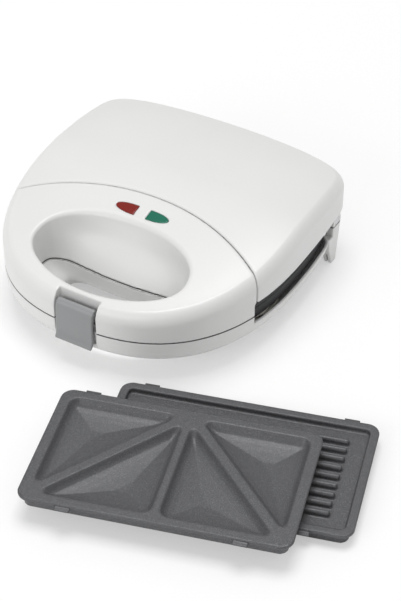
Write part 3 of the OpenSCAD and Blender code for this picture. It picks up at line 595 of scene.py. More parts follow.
@dataclass(frozen=True)
class Brushed:
    """Metal with fine drawn lines.

    Attributes:
        name: Name of the finish.
        slot: The record's material slot that it belongs to; not used.
        colour: Its colour.
        roughness: Its roughness where it is smoothest and where it is roughest.
        lines: Stretch of the lines along x, y and z, in lines to the metre.
    """

    name: str
    slot: str
    colour: Colour
    roughness: Span = (0.22, 0.42)
    lines: Point = (40.0, 1600.0, 1600.0)

    def material(self) -> bpy.types.Material:
        """Makes the node tree of the finish.

        Returns:
            The material.
        """
        nodes = Nodes(self.name)
        place = nodes.add("ShaderNodeMapping", Vector=nodes.place(), Scale=self.lines).outputs["Vector"]
        drawn = nodes.add("ShaderNodeTexNoise", Vector=place, Scale=1.0, Detail=2.0).outputs["Fac"]
        colour = nodes.ramp(drawn, [(0.3, darker(self.colour, 0.82)), (0.7, self.colour)])
        nodes.surface(colour, drawn, self.roughness, 0.2, 0.00002)
        nodes.fill(nodes.shader, Metallic=1.0)
        return nodes.material


class Finish(Enum):
    """Every finish on the appliance."""

    # The white mouldings get painted shade along the parting seam, 0.8 mm to each side of its middle.
    WHITE = Moulded(
        "white_moulding", "white_plastic", (0.76, 0.76, 0.75), 0.985, (0.3, 0.38), 700.0, 0.00001, 0.1,
        lip=0.0008,
    )
    GREY = Moulded("grey_latch", "grey_plastic", (0.29, 0.295, 0.3), 0.95, (0.3, 0.38), 900.0, 0.00002, 0.1)
    BLACK = Moulded("black_resin", "black_plastic", (0.022, 0.022, 0.024), 0.8, (0.55, 0.68), 1100.0, 0.00004)
    RUBBER = Moulded("black_rubber", "rubber", (0.03, 0.03, 0.03), 0.8, (0.7, 0.85), 1300.0, 0.00006)
    CERAMIC = Moulded("pale_ceramic", "ceramic", (0.82, 0.79, 0.72), 0.93, (0.6, 0.75), 1000.0, 0.00005)
    SLEEVE = Moulded("lead_sleeve", "wire", (0.85, 0.82, 0.74), 0.93, (0.5, 0.6), 1200.0, 0.00004)
    SHEATH = Moulded(
        "heater_sheath", "heater_tube", (0.16, 0.155, 0.15), 0.7, (0.45, 0.6), 1100.0, 0.00003, metal=0.8
    )
    RED = Moulded(
        "red_lens", "red_lens", (0.27, 0.01, 0.003), 0.8, (0.1, 0.16), 400.0, 0.00001, 0.1,
        transmission=0.15,
    )
    GREEN = Moulded(
        "green_lens", "green_lens", (0.006, 0.2, 0.12), 0.8, (0.1, 0.16), 400.0, 0.00001, 0.1,
        transmission=0.15,
    )
    LAMP = Moulded(
        "lamp_glass", "lamp_glass", (0.95, 0.80, 0.62), 0.95, (0.04, 0.08), 300.0, 0.00001,
        transmission=0.7, glow=0.1,
    )
    COAT = Nonstick()
    STEEL = Brushed("plated_steel", "steel", (0.62, 0.62, 0.64))
    SHEET = Brushed("bright_sheet", "sheet_metal", (0.78, 0.79, 0.80), (0.18, 0.36), (1600.0, 60.0, 1600.0))


@cache
def paint(finish: Finish) -> bpy.types.Material:
    """Makes a finish's material at the first call, and hands out the same one after that."""
    return finish.value.material()


# ---- Placing pieces ----


def toaster_shift() -> Vector:
    """Finds how far the toaster's middle lies from the model's origin, in metres."""
    low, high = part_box("lid_cover")
    return Vector(((low.x + high.x) / 2, high.y - LID_REAR * MM, 0.0))


@dataclass(frozen=True)
class Piece:
    """Finished piece that stands for one of the solids.

    Attributes:
        name: Name of the piece.
        body: The group that it moves with.
        finish: Its finish.
        node: The solid that it replaces.
    """

    name: str
    body: Body
    finish: Finish
    node: str

    def build(self, skins: Sequence[Skin], turn: Matrix | None = None) -> None:
        """Makes the piece's mesh, dresses it and lets it ride.

        Args:
            skins: Its surfaces in millimetres.
            turn: Where its own frame lies in the toaster's frame, if it has one.
        """
        mesh = bpy.data.meshes.new(self.name)
        points = np.concatenate([skin.points for skin in skins])
        normals = np.concatenate([skin.normals for skin in skins])
        starts = np.cumsum([0] + [len(skin.points) for skin in skins[:-1]])
        quads = np.concatenate([skin.quads + start for skin, start in zip(skins, starts)])
        if turn is not None:
            spin = np.array(turn.to_3x3())
            points = points @ spin.T + np.array(turn.translation)
            normals = normals @ spin.T
        points = points * MM + np.array(toaster_shift())
        mesh.vertices.add(len(points))
        mesh.vertices.foreach_set("co", points.astype(np.float32).ravel())
        mesh.loops.add(quads.size)
        mesh.loops.foreach_set("vertex_index", quads.astype(np.int32).ravel())
        mesh.polygons.add(len(quads))
        mesh.polygons.foreach_set("loop_start", np.arange(0, quads.size, 4, dtype=np.int32))
        mesh.polygons.foreach_set("use_smooth", np.ones(len(quads), bool))
        mesh.update(calc_edges=True)
        mesh.validate()
        mesh.normals_split_custom_set_from_vertices(normals.tolist())
        piece = bpy.data.objects.new(self.name, mesh)
        bpy.context.scene.collection.objects.link(piece)
        mesh.materials.append(paint(self.finish))
        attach(piece, self.body.value)
        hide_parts(self.node)
        log.info("%s: %d faces, %s", self.name, len(quads), self.finish.name.lower())


# ---- Forms of the housing ----


@dataclass(frozen=True)
class Outline:
    """Family of rounded rings round the housing, seen from above.

    Attributes:
        rear: Reach to the rear.
        power: Squareness of the rear half.
        bow: How far the rear edge bows forward at its ends.
        half: Half of the width.
        front: Reach to the front.
        front_power: Squareness of the front half.
        taper: Share of the width lost at the lid's rear edge.
    """

    rear: float
    power: float
    bow: float
    half: float = HALF_WIDTH
    front: float = 146.0
    front_power: float = 2.4
    taper: float = 0.1

    def straighten(self, x: Values, y: Values, inset: Values) -> tuple[Values, Values]:
        """Takes the taper and the bow out of a position.

        Args:
            x: Position across.
            y: Position along.
            inset: Inset of the ring that it lies on.

        Returns:
            Position on the ring without taper and bow.
        """
        width = self.half - inset
        back = np.maximum(y, 0.0)
        rear = back
        across = x + 0.0 * back
        for _ in range(3):
            across = x / (1.0 - self.taper * (rear / LID_REAR) ** 2)
            rear = back / (1.0 - self.bow * (across / width) ** 2 / (self.rear - inset))
        return across, np.where(y > 0.0, rear, y)

    def reach(self, u: Values, v: Values, inset: Values) -> tuple[Values, Values]:
        """Measures a straightened position against a ring.

        Args:
            u: Position across.
            v: Position along.
            inset: Inset of the ring.

        Returns:
            Its share of the way to the ring, and how fast the inset changes with that share.
        """
        power = np.where(v < 0.0, self.front_power, self.power)
        width = self.half - inset
        depth = np.where(v < 0.0, self.front, self.rear) - inset
        p, q = (np.abs(u) / width) ** power, (np.abs(v) / depth) ** power
        total = np.maximum(p + q, 1e-7)
        return total ** (1.0 / power), total / np.maximum(p / width + q / depth, 1e-9)

    def inset(self, x: Values, y: Values) -> Values:
        """Finds the ring that each position lies on.

        Args:
            x: Position across.
            y: Position along.

        Returns:
            Inset of the ring, negative outside the housing.
        """
        found = 0.0 * x + 0.0 * y
        for _ in range(4):
            share, rate = self.reach(*self.straighten(x, y, found), found)
            found = np.clip(found + (1.0 - share) * rate, -25.0, 60.0)
        return found

    def ring_point(self, x: Values, y: Values, inset: float) -> tuple[Values, Values]:
        """Moves positions outwards or inwards to a ring.

        Args:
            x: Position across.
            y: Position along.
            inset: Inset of the ring.

        Returns:
            The positions on the ring, in the same directions.
        """
        u, v = self.straighten(x, y, np.float64(inset))
        share, _ = self.reach(u, v, np.float64(inset))
        u, v = u / share, v / share
        back = np.maximum(v, 0.0)
        bow = self.bow * (u / (self.half - inset)) ** 2 * back / (self.rear - inset)
        return u * (1.0 - self.taper * (back / LID_REAR) ** 2), v - bow


def quarter(u: Values, v: Values, power: float, reach: Span) -> Values:
    """Distance to a softly rounded edge, from the shares of the way out along two directions.

    Args:
        u: Share of the way out along the first direction.
        v: Share of the way out along the second direction.
        power: Squareness of the edge.
        reach: Millimetres that one whole share stands for, along each direction.

    Returns:
        Signed distance, negative inside.
    """
    a, b = np.maximum(u, 0.02) ** power, np.maximum(v, 0.02) ** power
    total = a + b
    return (total ** (1.0 / power) - 1.0) * (reach[0] * a + reach[1] * b) / total


@dataclass(frozen=True)
class LidForm:
    """Domed form of the lid, shared by its two mouldings.

    Attributes:
        outline: Its rings seen from above.
        rim: Inset of the line where the crown turns down into the side.
        drop: Height of that soft edge.
        height: Height of the crown above the seam.
        crest: Position of the crown's highest line.
        front_slope: Fall of the crown towards the front, per millimetre.
        bend: Size of the soft bend between the crest and that fall.
        rear_fall: Fall of the crown to the rear edge.
        side_fall: Fall of the crown to the sides.
        groove: Position of the groove between the mouldings on the centre line.
        sweep: How far the groove sweeps forward at the sides.
    """

    outline: Outline = Outline(LID_REAR, 15.0, 15.0, taper=0.04)
    rim: float = 8.0
    drop: float = 13.0
    height: float = 54.7
    crest: float = 17.4
    front_slope: float = 0.23
    bend: float = 30.0
    rear_fall: float = 11.0
    side_fall: float = 8.0
    groove: float = -22.4
    sweep: float = 40.0

    def top(self, x: Values, y: Values) -> Values:
        """Finds the height of the crown over the table.

        Args:
            x: Position across.
            y: Position along.

        Returns:
            The height.
        """
        past = y - self.crest
        front = self.front_slope * (np.sqrt(past**2 + self.bend**2) - self.bend)
        rear = self.rear_fall * (np.maximum(past, 0.0) / (LID_REAR - self.crest)) ** 2.6
        side = self.side_fall * (np.abs(x) / HALF_WIDTH) ** 4.8
        return SEAM + self.height - side - np.where(past < 0.0, front, rear)

    def plan(self, x: Values, y: Values) -> tuple[Values, Values]:
        """Measures positions seen from above.

        Args:
            x: Position across.
            y: Position along.

        Returns:
            The inset of each, and the height of the crown over it.
        """
        inset = self.outline.inset(x, y)
        rim_x, rim_y = self.outline.ring_point(x, y, self.rim)
        outside = inset < self.rim
        return inset, self.top(np.where(outside, rim_x, x), np.where(outside, rim_y, y))

    def solid(self, plan: tuple[Values, Values], z: Values, skin: float) -> Values:
        """Distance to the lid drawn in by a skin, from what plan() gives and the height."""
        out, up = (self.rim + skin - plan[0]) / self.rim, (z + skin - plan[1] + self.drop) / self.drop
        return quarter(out, up, 1.8, (self.rim, self.drop))

    def past_groove(self, x: Values, y: Values) -> Values:
        """Finds how far positions lie behind the groove's centre line.

        Args:
            x: Position across.
            y: Position along.

        Returns:
            The distance, negative in front of the line.
        """
        half = HALF_WIDTH - 3.0
        share = np.abs(x) / half
        slant = self.sweep * 2.0 / half * share
        return (y - self.groove + self.sweep * share * share) / np.sqrt(1.0 + slant * slant)


LID = LidForm()


def side_opening(y: Values, z: Values, level: float, upwards: bool) -> Values:
    """Region of the side openings, behind their front end and above or below a level."""
    return round_both(STRIP_FRONT - y, (level - z) if upwards else (z - level), 1.6)


def smoothed(curve: Values, width: int) -> Values:
    """Averages a sampled curve twice over a number of samples.

    Args:
        curve: The samples.
        width: How many samples are averaged.

    Returns:
        As many samples of the smoother curve.
    """
    kernel = np.ones(width) / width
    wide = np.pad(curve, width - 1, mode="edge")
    return np.convolve(np.convolve(wide, kernel, "valid"), kernel, "valid")


class HandOpening:
    """Opening for the hand, as level curves with soft changes from one to the next."""

    CENTRE = -94.6
    FRONT_POWER = 1.9
    BULGE_HALF = 50.0
    BULGE_START = 5.0

    def __init__(self, levels: Sequence[tuple[float, ...]]) -> None:
        """Prepares the level curves.

        Args:
            levels: Height, half width, reach to the front, reach to the rear, squareness of the
                rear and bulge of the rear wall of each curve, from low to high.
        """
        table = np.array(levels)
        self.heights = np.arange(table[0, 0] - 20.0, table[-1, 0] + 20.0, 0.5)
        self.sizes: list[Values] = []
        for column in table.T[1:]:
            plain = np.interp(self.heights, table[:, 0], column)
            first = (column[1] - column[0]) / (table[1, 0] - table[0, 0])
            plain += np.minimum(self.heights - table[0, 0], 0.0) * first
            last = (column[-1] - column[-2]) / (table[-1, 0] - table[-2, 0])
            plain += np.maximum(self.heights - table[-1, 0], 0.0) * last
            self.sizes.append(smoothed(plain, 13))

    def distance(self, x: Values, y: Values, z: Values) -> Values:
        """Distance to the opening's wall.

        Args:
            x: Position across.
            y: Position along.
            z: Height over the table.

        Returns:
            Signed distance, negative in the opening.
        """
        here = self.level(x, y, z)
        rise = self.level(x, y, z + 0.5) - self.level(x, y, z - 0.5)
        return here / np.sqrt(1.0 + rise * rise)

    def level(self, x: Values, y: Values, z: Values) -> Values:
        """Distance to the opening's outline within the level plane.

        Args:
            x: Position across.
            y: Position along.
            z: Height over the table.

        Returns:
            Signed distance, negative in the opening.
        """
        half, front, rear, power, bulge = (np.interp(z, self.heights, size) for size in self.sizes)
        v = y - self.CENTRE
        bow = np.maximum(0.0, 1.0 - (x / self.BULGE_HALF) ** 2) * np.clip(v / self.BULGE_START, 0.0, 1.0)
        v = np.where(v > 0.0, v + bulge * bow, v)
        n = np.where(v < 0.0, self.FRONT_POWER, power)
        depth = np.where(v < 0.0, front, rear)
        p, q = np.abs(x) / half, np.abs(v) / depth
        total = np.maximum(p**n + q**n, 1e-6)
        share = total ** (1.0 / n)
        pull = share / total
        across, along = pull * p ** (n - 1.0) / half, pull * q ** (n - 1.0) / depth
        return (share - 1.0) / np.sqrt(across * across + along * along + 1e-6)


LID_OPENING = HandOpening([
    (37.0, 67.5, 33.4, 17.0, 4.0, 5.0),
    (50.0, 68.5, 34.4, 25.0, 3.5, 3.0),
    (63.0, 69.5, 35.4, 33.0, 2.8, 1.0),
    (76.0, 70.5, 36.0, 39.0, 2.3, 0.0),
    (88.0, 71.5, 36.3, 44.0, 2.2, 0.0),
    (108.0, 71.5, 36.3, 44.0, 2.2, 0.0),
])
BASE_OPENING = HandOpening([
    (3.0, 52.0, 29.4, 28.5, 4.0, 4.0),
    (12.0, 52.0, 30.4, 28.5, 4.0, 4.0),
    (16.5, 51.0, 30.8, 25.5, 4.0, 4.0),
    (20.0, 50.0, 31.2, 20.5, 4.0, 4.0),
    (22.0, 48.0, 31.4, 15.5, 4.0, 4.0),
    (32.0, 62.5, 32.9, 16.5, 4.0, 5.0),
    (39.0, 67.5, 33.4, 17.0, 4.0, 5.0),
])


class LensForm:
    """Plan and place of the two indicator lenses."""

    LENGTH = 19.5
    HALF = 5.4
    INNER = 5.5
    PLACE = (0.0, -42.3, 84.2328)
    TILT = math.radians(11.61)

    def local(self, y: Values, z: Values) -> tuple[Values, Values]:
        """Turns positions into the tilted frame of the lenses.

        Args:
            y: Position along.
            z: Height over the table.

        Returns:
            Position up the slope, and height over it.
        """
        ahead, up = y - self.PLACE[1], z - self.PLACE[2]
        sine, cosine = math.sin(self.TILT), math.cos(self.TILT)
        return cosine * ahead + sine * up, cosine * up - sine * ahead

    def plan(self, x: Values, v: Values, grow: float) -> Values:
        """Distance to the plan of a lens on the positive side.

        Args:
            x: Position across.
            v: Position up the slope.
            grow: How far the plan is grown.

        Returns:
            Signed distance, negative inside.
        """
        u = x - self.INNER + grow
        length, half = self.LENGTH + 2 * grow, self.HALF + grow
        p, q = np.maximum(u, 0.0) / length, v / half
        value = p**2.5 + q * q - 1.0
        slant = np.sqrt((2.5 * p**1.5 / length) ** 2 + (2.0 * q / half) ** 2 + 1e-3)
        return np.maximum(value / slant, -u)


LENS = LensForm()


# ---- Lid and base ----


def front_hollow(
    x: Values, y: Values, drawn_in: Values, inset: Values, depth: Values, scoop: Values, bend: float
) -> Values:
    """Hollow of a moulding that has the hand opening.

    Args:
        x: Position across.
        y: Position along.
        drawn_in: Field of the moulding's form, drawn in by a wall.
        inset: Inset of each position, seen from above.
        depth: How far each position lies in from the parting seam.
        scoop: Distance to the hand opening.
        bend: Radius of the hollow's edge along the opening's wall.

    Returns:
        Field that is negative in the hollow.
    """
    inner = round_both(np.maximum(drawn_in, WALL - depth), WALL - scoop, bend)
    inner = np.maximum(inner, -np.maximum(np.abs(x) - BLOCK_HALF, y - BLOCK_REAR))
    bay = np.maximum(np.maximum(BAY_FRONT - y, WALL - inset), depth - WALL - 1.0)
    return np.minimum(inner, bay)


@dataclass(frozen=True)
class LidMouldings:
    """The two white mouldings of the lid.

    Attributes:
        seam: Height of their lower edge.
        strip: Height of the upper edge of the side openings.
        gap: Width of the groove between them.
        valley: Radius of the soft edges along the groove.
        notch: Rear of the latch's notch.
        cell: Size of a mesh cell.
    """

    seam: float = SEAM + 0.35
    strip: float = SEAM + 12.7
    gap: float = 0.5
    valley: float = 1.8
    notch: float = -135.0
    cell: float = 1.35

    def cover(self, x: Values, y: Values, z: Values) -> Values:
        """Field of the rear moulding.

        Args:
            x: Position across.
            y: Position along.
            z: Height over the table.

        Returns:
            Signed distance, negative inside.
        """
        plan = LID.plan(x, y)
        form = round_both(LID.solid(plan, z, 0.0), self.seam - z, 0.6)
        form = round_both(form, self.gap / 2 - LID.past_groove(x, y), self.valley)
        form = round_both(form, -LID.solid(plan, z, WALL), 0.3)
        return round_both(form, -side_opening(y, z, self.strip, False), 0.6)

    def handle(self, x: Values, y: Values, z: Values) -> Values:
        """Field of the front moulding with the scoop.

        Args:
            x: Position across.
            y: Position along.
            z: Height over the table.

        Returns:
            Signed distance, negative inside.
        """
        plan = LID.plan(x, y)
        scoop = LID_OPENING.distance(x, y, z)
        wide = np.abs(x)
        form = round_both(LID.solid(plan, z, 0.0), -scoop, 3.0)
        form = round_both(form, self.seam - z, 0.5)
        form = round_both(form, LID.past_groove(x, y) + self.gap / 2, self.valley)
        hollow = front_hollow(x, y, LID.solid(plan, z, WALL), plan[0], z - self.seam, scoop, 2.5)
        form = round_both(form, -hollow, 0.3)
        form = round_both(form, -side_opening(y, z, self.strip, False), 0.6)
        form = round_both(form, -np.maximum(wide - NOTCH_HALF, y - self.notch), 0.9)
        v, w = LENS.local(y, z)
        return round_both(form, -np.maximum(LENS.plan(wide, v, 0.1), np.abs(w) - 8.0), 0.3)

    def build(self) -> None:
        """Makes both mouldings."""
        for node, form, front, rear in (
            ("lid_cover", self.cover, -66.0, 114.0),
            ("lid_handle", self.handle, -147.0, -21.0),
        ):
            skin = skin_of(form, Block((-126.0, front, 37.0), (126.0, rear, 94.0), self.cell))
            Piece(f"{node}_shell", Body.LID, Finish.WHITE, node).build([skin])


@dataclass(frozen=True)
class LowerHousing:
    """White base moulding with its legs and foot stubs.

    Attributes:
        outline: Its rings seen from above.
        floor: Height of its underside.
        shoulder: Height at which its sides start to curve in.
        curve: How far they curve in.
        edge: Height of its upper edge.
        strip: Height of the lower edge of the side openings.
        notch: Half width, rear and floor of the latch's notch.
        recess: Half width, rear, floor and top of the recess under the latch's catch.
        cord: Place across and in height, radius and front of the cord's hole.
        ear: Place of the hinge axis along and in height.
        ear_radius: Radius of the ear round that axis.
        bore: Radius of the bore for the hinge pin.
        boss: Radius of the recess for the pin's boss, and how far out it starts.
        leg: Nearest and farthest side of a leg across.
        leg_side: Corners of a leg's side view, along and in height.
        slot: Half width and height of the slot in a leg's foot.
        foot: Place of the right front foot.
        stub: Radius of a foot stub at its lower end, and how much wider it is at its upper end.
        stub_span: Heights of its two ends.
        pad: Radius and height of the hole for a rubber pad.
        cell: Size of a mesh cell.
    """

    outline: Outline = Outline(72.0, 16.0, 1.0)
    floor: float = 12.0
    shoulder: float = 33.0
    curve: float = 26.0
    edge: float = SEAM - 0.35
    strip: float = SEAM - 7.5
    notch: Point = (NOTCH_HALF, -142.8, 18.0)
    recess: tuple[float, ...] = (18.0, -140.8, 25.0, 33.0)
    cord: tuple[float, ...] = (70.0, 17.8, 4.0, 56.0)
    ear: Corner = (80.0, 42.0)
    ear_radius: float = 7.0
    bore: float = 2.52
    boss: Span = (4.1, 117.6)
    leg: Span = (111.5, 119.0)
    leg_side: tuple[Corner, ...] = (
        (73.0, 42.0), (73.0, 29.0), (66.0, 29.0), (67.0, 18.0), (73.0, 0.0), (80.5, 0.0), (87.0, 42.0)
    )
    slot: Span = (0.8, 11.0)
    foot: Corner = (68.0, -80.0)
    stub: Span = (10.0, 1.5)
    stub_span: Span = (1.5, 13.0)
    pad: Span = (8.1, 4.5)
    cell: float = 1.4

    def bowl(self, inset: Values, z: Values, skin: float) -> Values:
        """Distance to the base's rounded form drawn in by a skin, from the inset and the height."""
        reach = (self.curve, self.shoulder - self.floor - skin)
        return quarter((self.curve + skin - inset) / self.curve, (self.shoulder - z) / reach[1], 2.6, reach)

    def shell(self, x: Values, y: Values, z: Values) -> Values:
        """Field of the base without its legs.

        Args:
            x: Position across.
            y: Position along.
            z: Height over the table.

        Returns:
            Signed distance, negative inside.
        """
        inset = self.outline.inset(x, y)
        scoop = BASE_OPENING.distance(x, y, z)
        wide = np.abs(x)
        form = round_both(self.bowl(inset, z, 0.0), -scoop, 1.2)
        form = round_both(form, z - self.edge, 0.5)
        hollow = front_hollow(x, y, self.bowl(inset, z, WALL), inset, self.edge - z, scoop, 1.5)
        form = round_both(form, -hollow, 0.3)
        form = round_both(form, -side_opening(y, z, self.strip, True), 0.6)
        half, rear, floor = self.notch
        form = round_both(form, -np.maximum(np.maximum(wide - half, y - rear), floor - z), 0.8)
        half, rear, floor, top = self.recess
        recess = np.maximum(np.maximum(wide - half, y - rear), np.maximum(floor - z, z - top))
        form = np.maximum(form, -recess)
        cord_x, cord_z, radius, front = self.cord
        cord = np.sqrt((x - cord_x) ** 2 + (z - cord_z) ** 2) - radius
        return round_both(form, -np.maximum(cord, front - y), 0.3)

    def rear_leg(self, x: Values, y: Values, z: Values) -> Values:
        """Field of the right leg with its hinge ear.

        Args:
            x: Position across.
            y: Position along.
            z: Height over the table.

        Returns:
            Signed distance, negative inside.
        """
        ear_y, ear_z = self.ear
        from_axis = np.sqrt((y - ear_y) ** 2 + (z - ear_z) ** 2)
        side = round_either(polygon_2d(y, z, self.leg_side), from_axis - self.ear_radius, 0.5)
        form = round_both(side, between(x, *self.leg), 1.0)
        middle, (half, top) = sum(self.leg) / 2, self.slot
        form = round_both(form, -np.maximum(between(x, middle - half, middle + half), z - top), 0.3)
        form = round_both(form, -(from_axis - self.bore), 0.3)
        radius, start = self.boss
        return round_both(form, -np.maximum(from_axis - radius, start - x), 0.3)

    def front_foot(self, x: Values, y: Values, z: Values) -> Values:
        """Field of the right front foot stub.

        Args:
            x: Position across.
            y: Position along.
            z: Height over the table.

        Returns:
            Signed distance, negative inside.
        """
        out = np.sqrt((x - self.foot[0]) ** 2 + (y - self.foot[1]) ** 2)
        (radius, flare), (low, high) = self.stub, self.stub_span
        stub = out - radius - flare * (z - low) / (high - low)
        hole, top = self.pad
        return round_both(round_both(stub, between(z, low, high), 0.8), -np.maximum(out - hole, z - top), 0.3)

    def build(self) -> None:
        """Makes the base moulding."""
        foot_x, foot_y = self.foot
        leg = skin_of(self.rear_leg, Block((110.0, 65.0, 0.0), (120.0, 88.0, 50.0), 0.55))
        foot = skin_of(
            self.front_foot, Block((foot_x - 12, foot_y - 12, 1.0), (foot_x + 12, foot_y + 12, 13.5), 0.7)
        )
        shell = skin_of(self.shell, Block((-126.0, -147.0, 11.0), (126.0, 73.0, 38.5), self.cell))
        skins = [shell, leg, mirrored(leg), foot, mirrored(foot)]
        Piece("lower_housing_shell", Body.BASE, Finish.WHITE, "lower_housing").build(skins)


def mirrored(skin: Skin) -> Skin:
    """Mirrors a surface over the toaster's middle plane."""
    flip = np.array([-1.0, 1.0, 1.0])
    return Skin(skin.points * flip, skin.quads[:, ::-1], skin.normals * flip)


# ---- Latch and lights ----


@dataclass(frozen=True)
class Latch:
    """Grey snap latch with a rounded back and a flared lip.

    Attributes:
        half: Half of its width.
        front: Position of the handle's front.
        edge: Radius of its rounded edges.
        pin: Place of its pin along and in height.
        bore: Radius of the bore for the pin.
        side: Corners of its rough side view, from its front and from the seam.
    """

    half: float = 17.5
    front: float = -146.0
    edge: float = 1.3
    pin: Corner = (-139.6, 51.0)
    bore: float = 1.56
    side: tuple[Corner, ...] = (
        (5.0, 20.6), (2.4, 19.8), (0.3, 17.2), (-0.8, 12.5), (-1.2, 5.0), (-1.2, -8.0), (-2.2, -12.0),
        (-4.0, -15.0), (-3.4, -16.4), (-0.6, -14.6), (1.6, -11.5), (2.7, -10.0), (2.7, -6.5),
        (1.8, -5.0), (1.8, 8.0), (5.0, 10.0), (8.0, 12.0), (9.3, 14.2), (8.4, 16.8), (6.4, 19.4),
    )

    def outline(self) -> list[Corner]:
        """Gives the corners of its softened side view, in the toaster's frame."""
        return softened([(self.front + y, SEAM + z) for y, z in self.side], 2)

    def form(self, x: Values, y: Values, z: Values) -> Values:
        """Field of the latch.

        Args:
            x: Position across.
            y: Position along.
            z: Height over the table.

        Returns:
            Signed distance, negative inside.
        """
        form = round_both(polygon_2d(y, z, self.outline()), between(x, -self.half, self.half), self.edge)
        bore = np.sqrt((y - self.pin[0]) ** 2 + (z - self.pin[1]) ** 2) - self.bore
        return np.maximum(form, -bore)

    def build(self) -> None:
        """Makes the latch."""
        block = Block((-self.half, self.front - 5, SEAM - 17), (self.half, self.front + 10, SEAM + 21), 0.6)
        Piece("latch_cap", Body.LATCH, Finish.GREY, "latch").build([skin_of(self.form, block)])


@dataclass(frozen=True)
class IndicatorLens:
    """Glassy lens of an indicator light, with a hidden flange.

    Attributes:
        side: The side that it lies on.
        finish: Its finish.
        node: The solid that it replaces.
        depth: How far its body reaches down from the lid's surface.
        flange: Lowest and highest side of its flange, from that surface.
    """

    side: Side
    finish: Finish
    node: str
    depth: float = 3.1
    flange: Span = (-4.2, -3.0)

    def form(self, x: Values, y: Values, z: Values) -> Values:
        """Field of the lens.

        Args:
            x: Position across.
            y: Position along.
            z: Height over the table.

        Returns:
            Signed distance, negative inside.
        """
        v, w = LENS.local(y, z)
        u = x * self.side.value
        dome = w - 0.3 + 0.0016 * ((u - 14.0) ** 2 + 4.0 * v * v)
        body = round_both(LENS.plan(u, v, -0.05), dome, 0.8)
        flange = round_both(LENS.plan(u, v, 1.15), between(w, *self.flange), 0.3)
        return np.minimum(np.maximum(body, -self.depth - w), flange)

    def build(self) -> None:
        """Makes the lens."""
        ends = sorted((4.0 * self.side.value, 27.0 * self.side.value))
        skin = skin_of(self.form, Block((ends[0], -50.5, 78.0), (ends[1], -34.5, 86.5), 0.42))
        Piece(f"{self.node}_glass", Body.LID, self.finish, self.node).build([skin])


# ---- Plates ----


@dataclass(frozen=True)
class PlateForm:
    """What every plate has in common: its flange, skirt and tabs.

    Attributes:
        half_width: Half of its width.
        half_depth: Half of its depth.
        corner: Radius of its corners.
        thick: Thickness of its flange and walls.
        height: Its whole height.
        lip: How far the flange stands out past the skirt.
        tab: Half width of a tab.
        tabs: Middle across, front and rear of each pair of tabs.
    """

    half_width: float = 103.0
    half_depth: float = 60.0
    corner: float = 10.0
    thick: float = 3.0
    height: float = 12.0
    lip: float = 4.0
    tab: float = 6.0
    tabs: tuple[Point, ...] = ((66.0, -64.0, -58.0), (80.0, 58.0, 63.0))

    def well(self, x: Values, y: Values, inset: float) -> Values:
        """Distance to the skirt's outline, drawn in by an inset."""
        return box_2d(x, y, self.half_width - self.lip, self.half_depth - self.lip, self.corner - 3.0) + inset

    def blank(self, x: Values, y: Values, z: Values) -> Values:
        """Field of the flange, skirt and tabs, with the plate's face at zero height.

        Args:
            x: Position across.
            y: Position along.
            z: Height over the face.

        Returns:
            Signed distance, negative inside.
        """
        flange = round_both(
            box_2d(x, y, self.half_width, self.half_depth, self.corner), between(z, -self.thick, 0.0), 1.0
        )
        wall = np.maximum(self.well(x, y, 0.0), -self.well(x, y, self.thick))
        skirt = round_both(wall, between(z, -self.height, -self.thick / 2), 0.8)
        pairs = [
            np.maximum(np.abs(np.abs(x) - middle) - self.tab, between(y, front, rear))
            for middle, front, rear in self.tabs
        ]
        tabs = round_both(np.minimum(*pairs), between(z, -self.thick, -self.thick / 2), 0.5)
        return np.minimum(round_either(flange, skirt, 0.8), tabs)


PLATE = PlateForm()


class Pocket:
    """Triangular pocket of a sandwich plate, steep at its sides and shallow in its middle."""

    RADIUS = 8.0
    SLOPES = (
        (-1.0, 0.0), (0.3, 0.0), (1.0, 1.0), (1.8, 2.4), (3.0, 4.0),
        (5.0, 5.5), (9.0, 6.7), (15.0, 7.8), (24.0, 9.0), (40.0, 9.0),
    )

    def __init__(self, corners: Sequence[Corner]) -> None:
        """Prepares the pocket's edges and its depth curve.

        Args:
            corners: Its three corners, anticlockwise.
        """
        self.edges: list[Point] = []
        for (ax, ay), (bx, by) in zip(corners, list(corners[1:]) + [corners[0]]):
            length = math.hypot(bx - ax, by - ay)
            nx, ny = (by - ay) / length, (ax - bx) / length
            self.edges.append((nx, ny, -(nx * ax + ny * ay)))
        self.insets = np.linspace(-6.0, 40.0, 461)
        self.depths = smoothed(np.interp(self.insets, *zip(*self.SLOPES)), 9)

    def inset(self, x: Values, y: Values) -> Values:
        """Distance in from the pocket's rounded outline, negative outside the pocket."""
        first, second, third = (nx * x + ny * y + shift for nx, ny, shift in self.edges)
        return -round_both(round_both(first, second, self.RADIUS), third, self.RADIUS)

    def depth(self, x: Values, y: Values, grow: float) -> Values:
        """Depth of the pocket under the face, grown sideways if asked."""
        return np.interp(self.inset(x, y) + grow, self.insets, self.depths)


POCKETS = (
    Pocket([(95.0, 52.0), (7.5, 52.0), (95.0, -47.0)]),
    Pocket([(2.5, -52.0), (90.0, -52.0), (2.5, 47.0)]),
)


def sandwich_form(x: Values, y: Values, z: Values) -> Values:
    """Field of a plate for cut sandwiches, with its face at zero height.

    Args:
        x: Position across.
        y: Position along.
        z: Height over the face.

    Returns:
        Signed distance, negative inside.
    """
    wide = np.abs(x)
    depth = np.maximum(*(pocket.depth(wide, y, 0.0) for pocket in POCKETS))
    outer = np.maximum(*(pocket.depth(wide, y, PLATE.thick) for pocket in POCKETS))
    sheet = np.maximum(-PLATE.thick - outer - z, PLATE.well(x, y, 1.0))
    return np.maximum(np.minimum(PLATE.blank(x, y, z), sheet * 0.8), (z + depth) * 0.7)


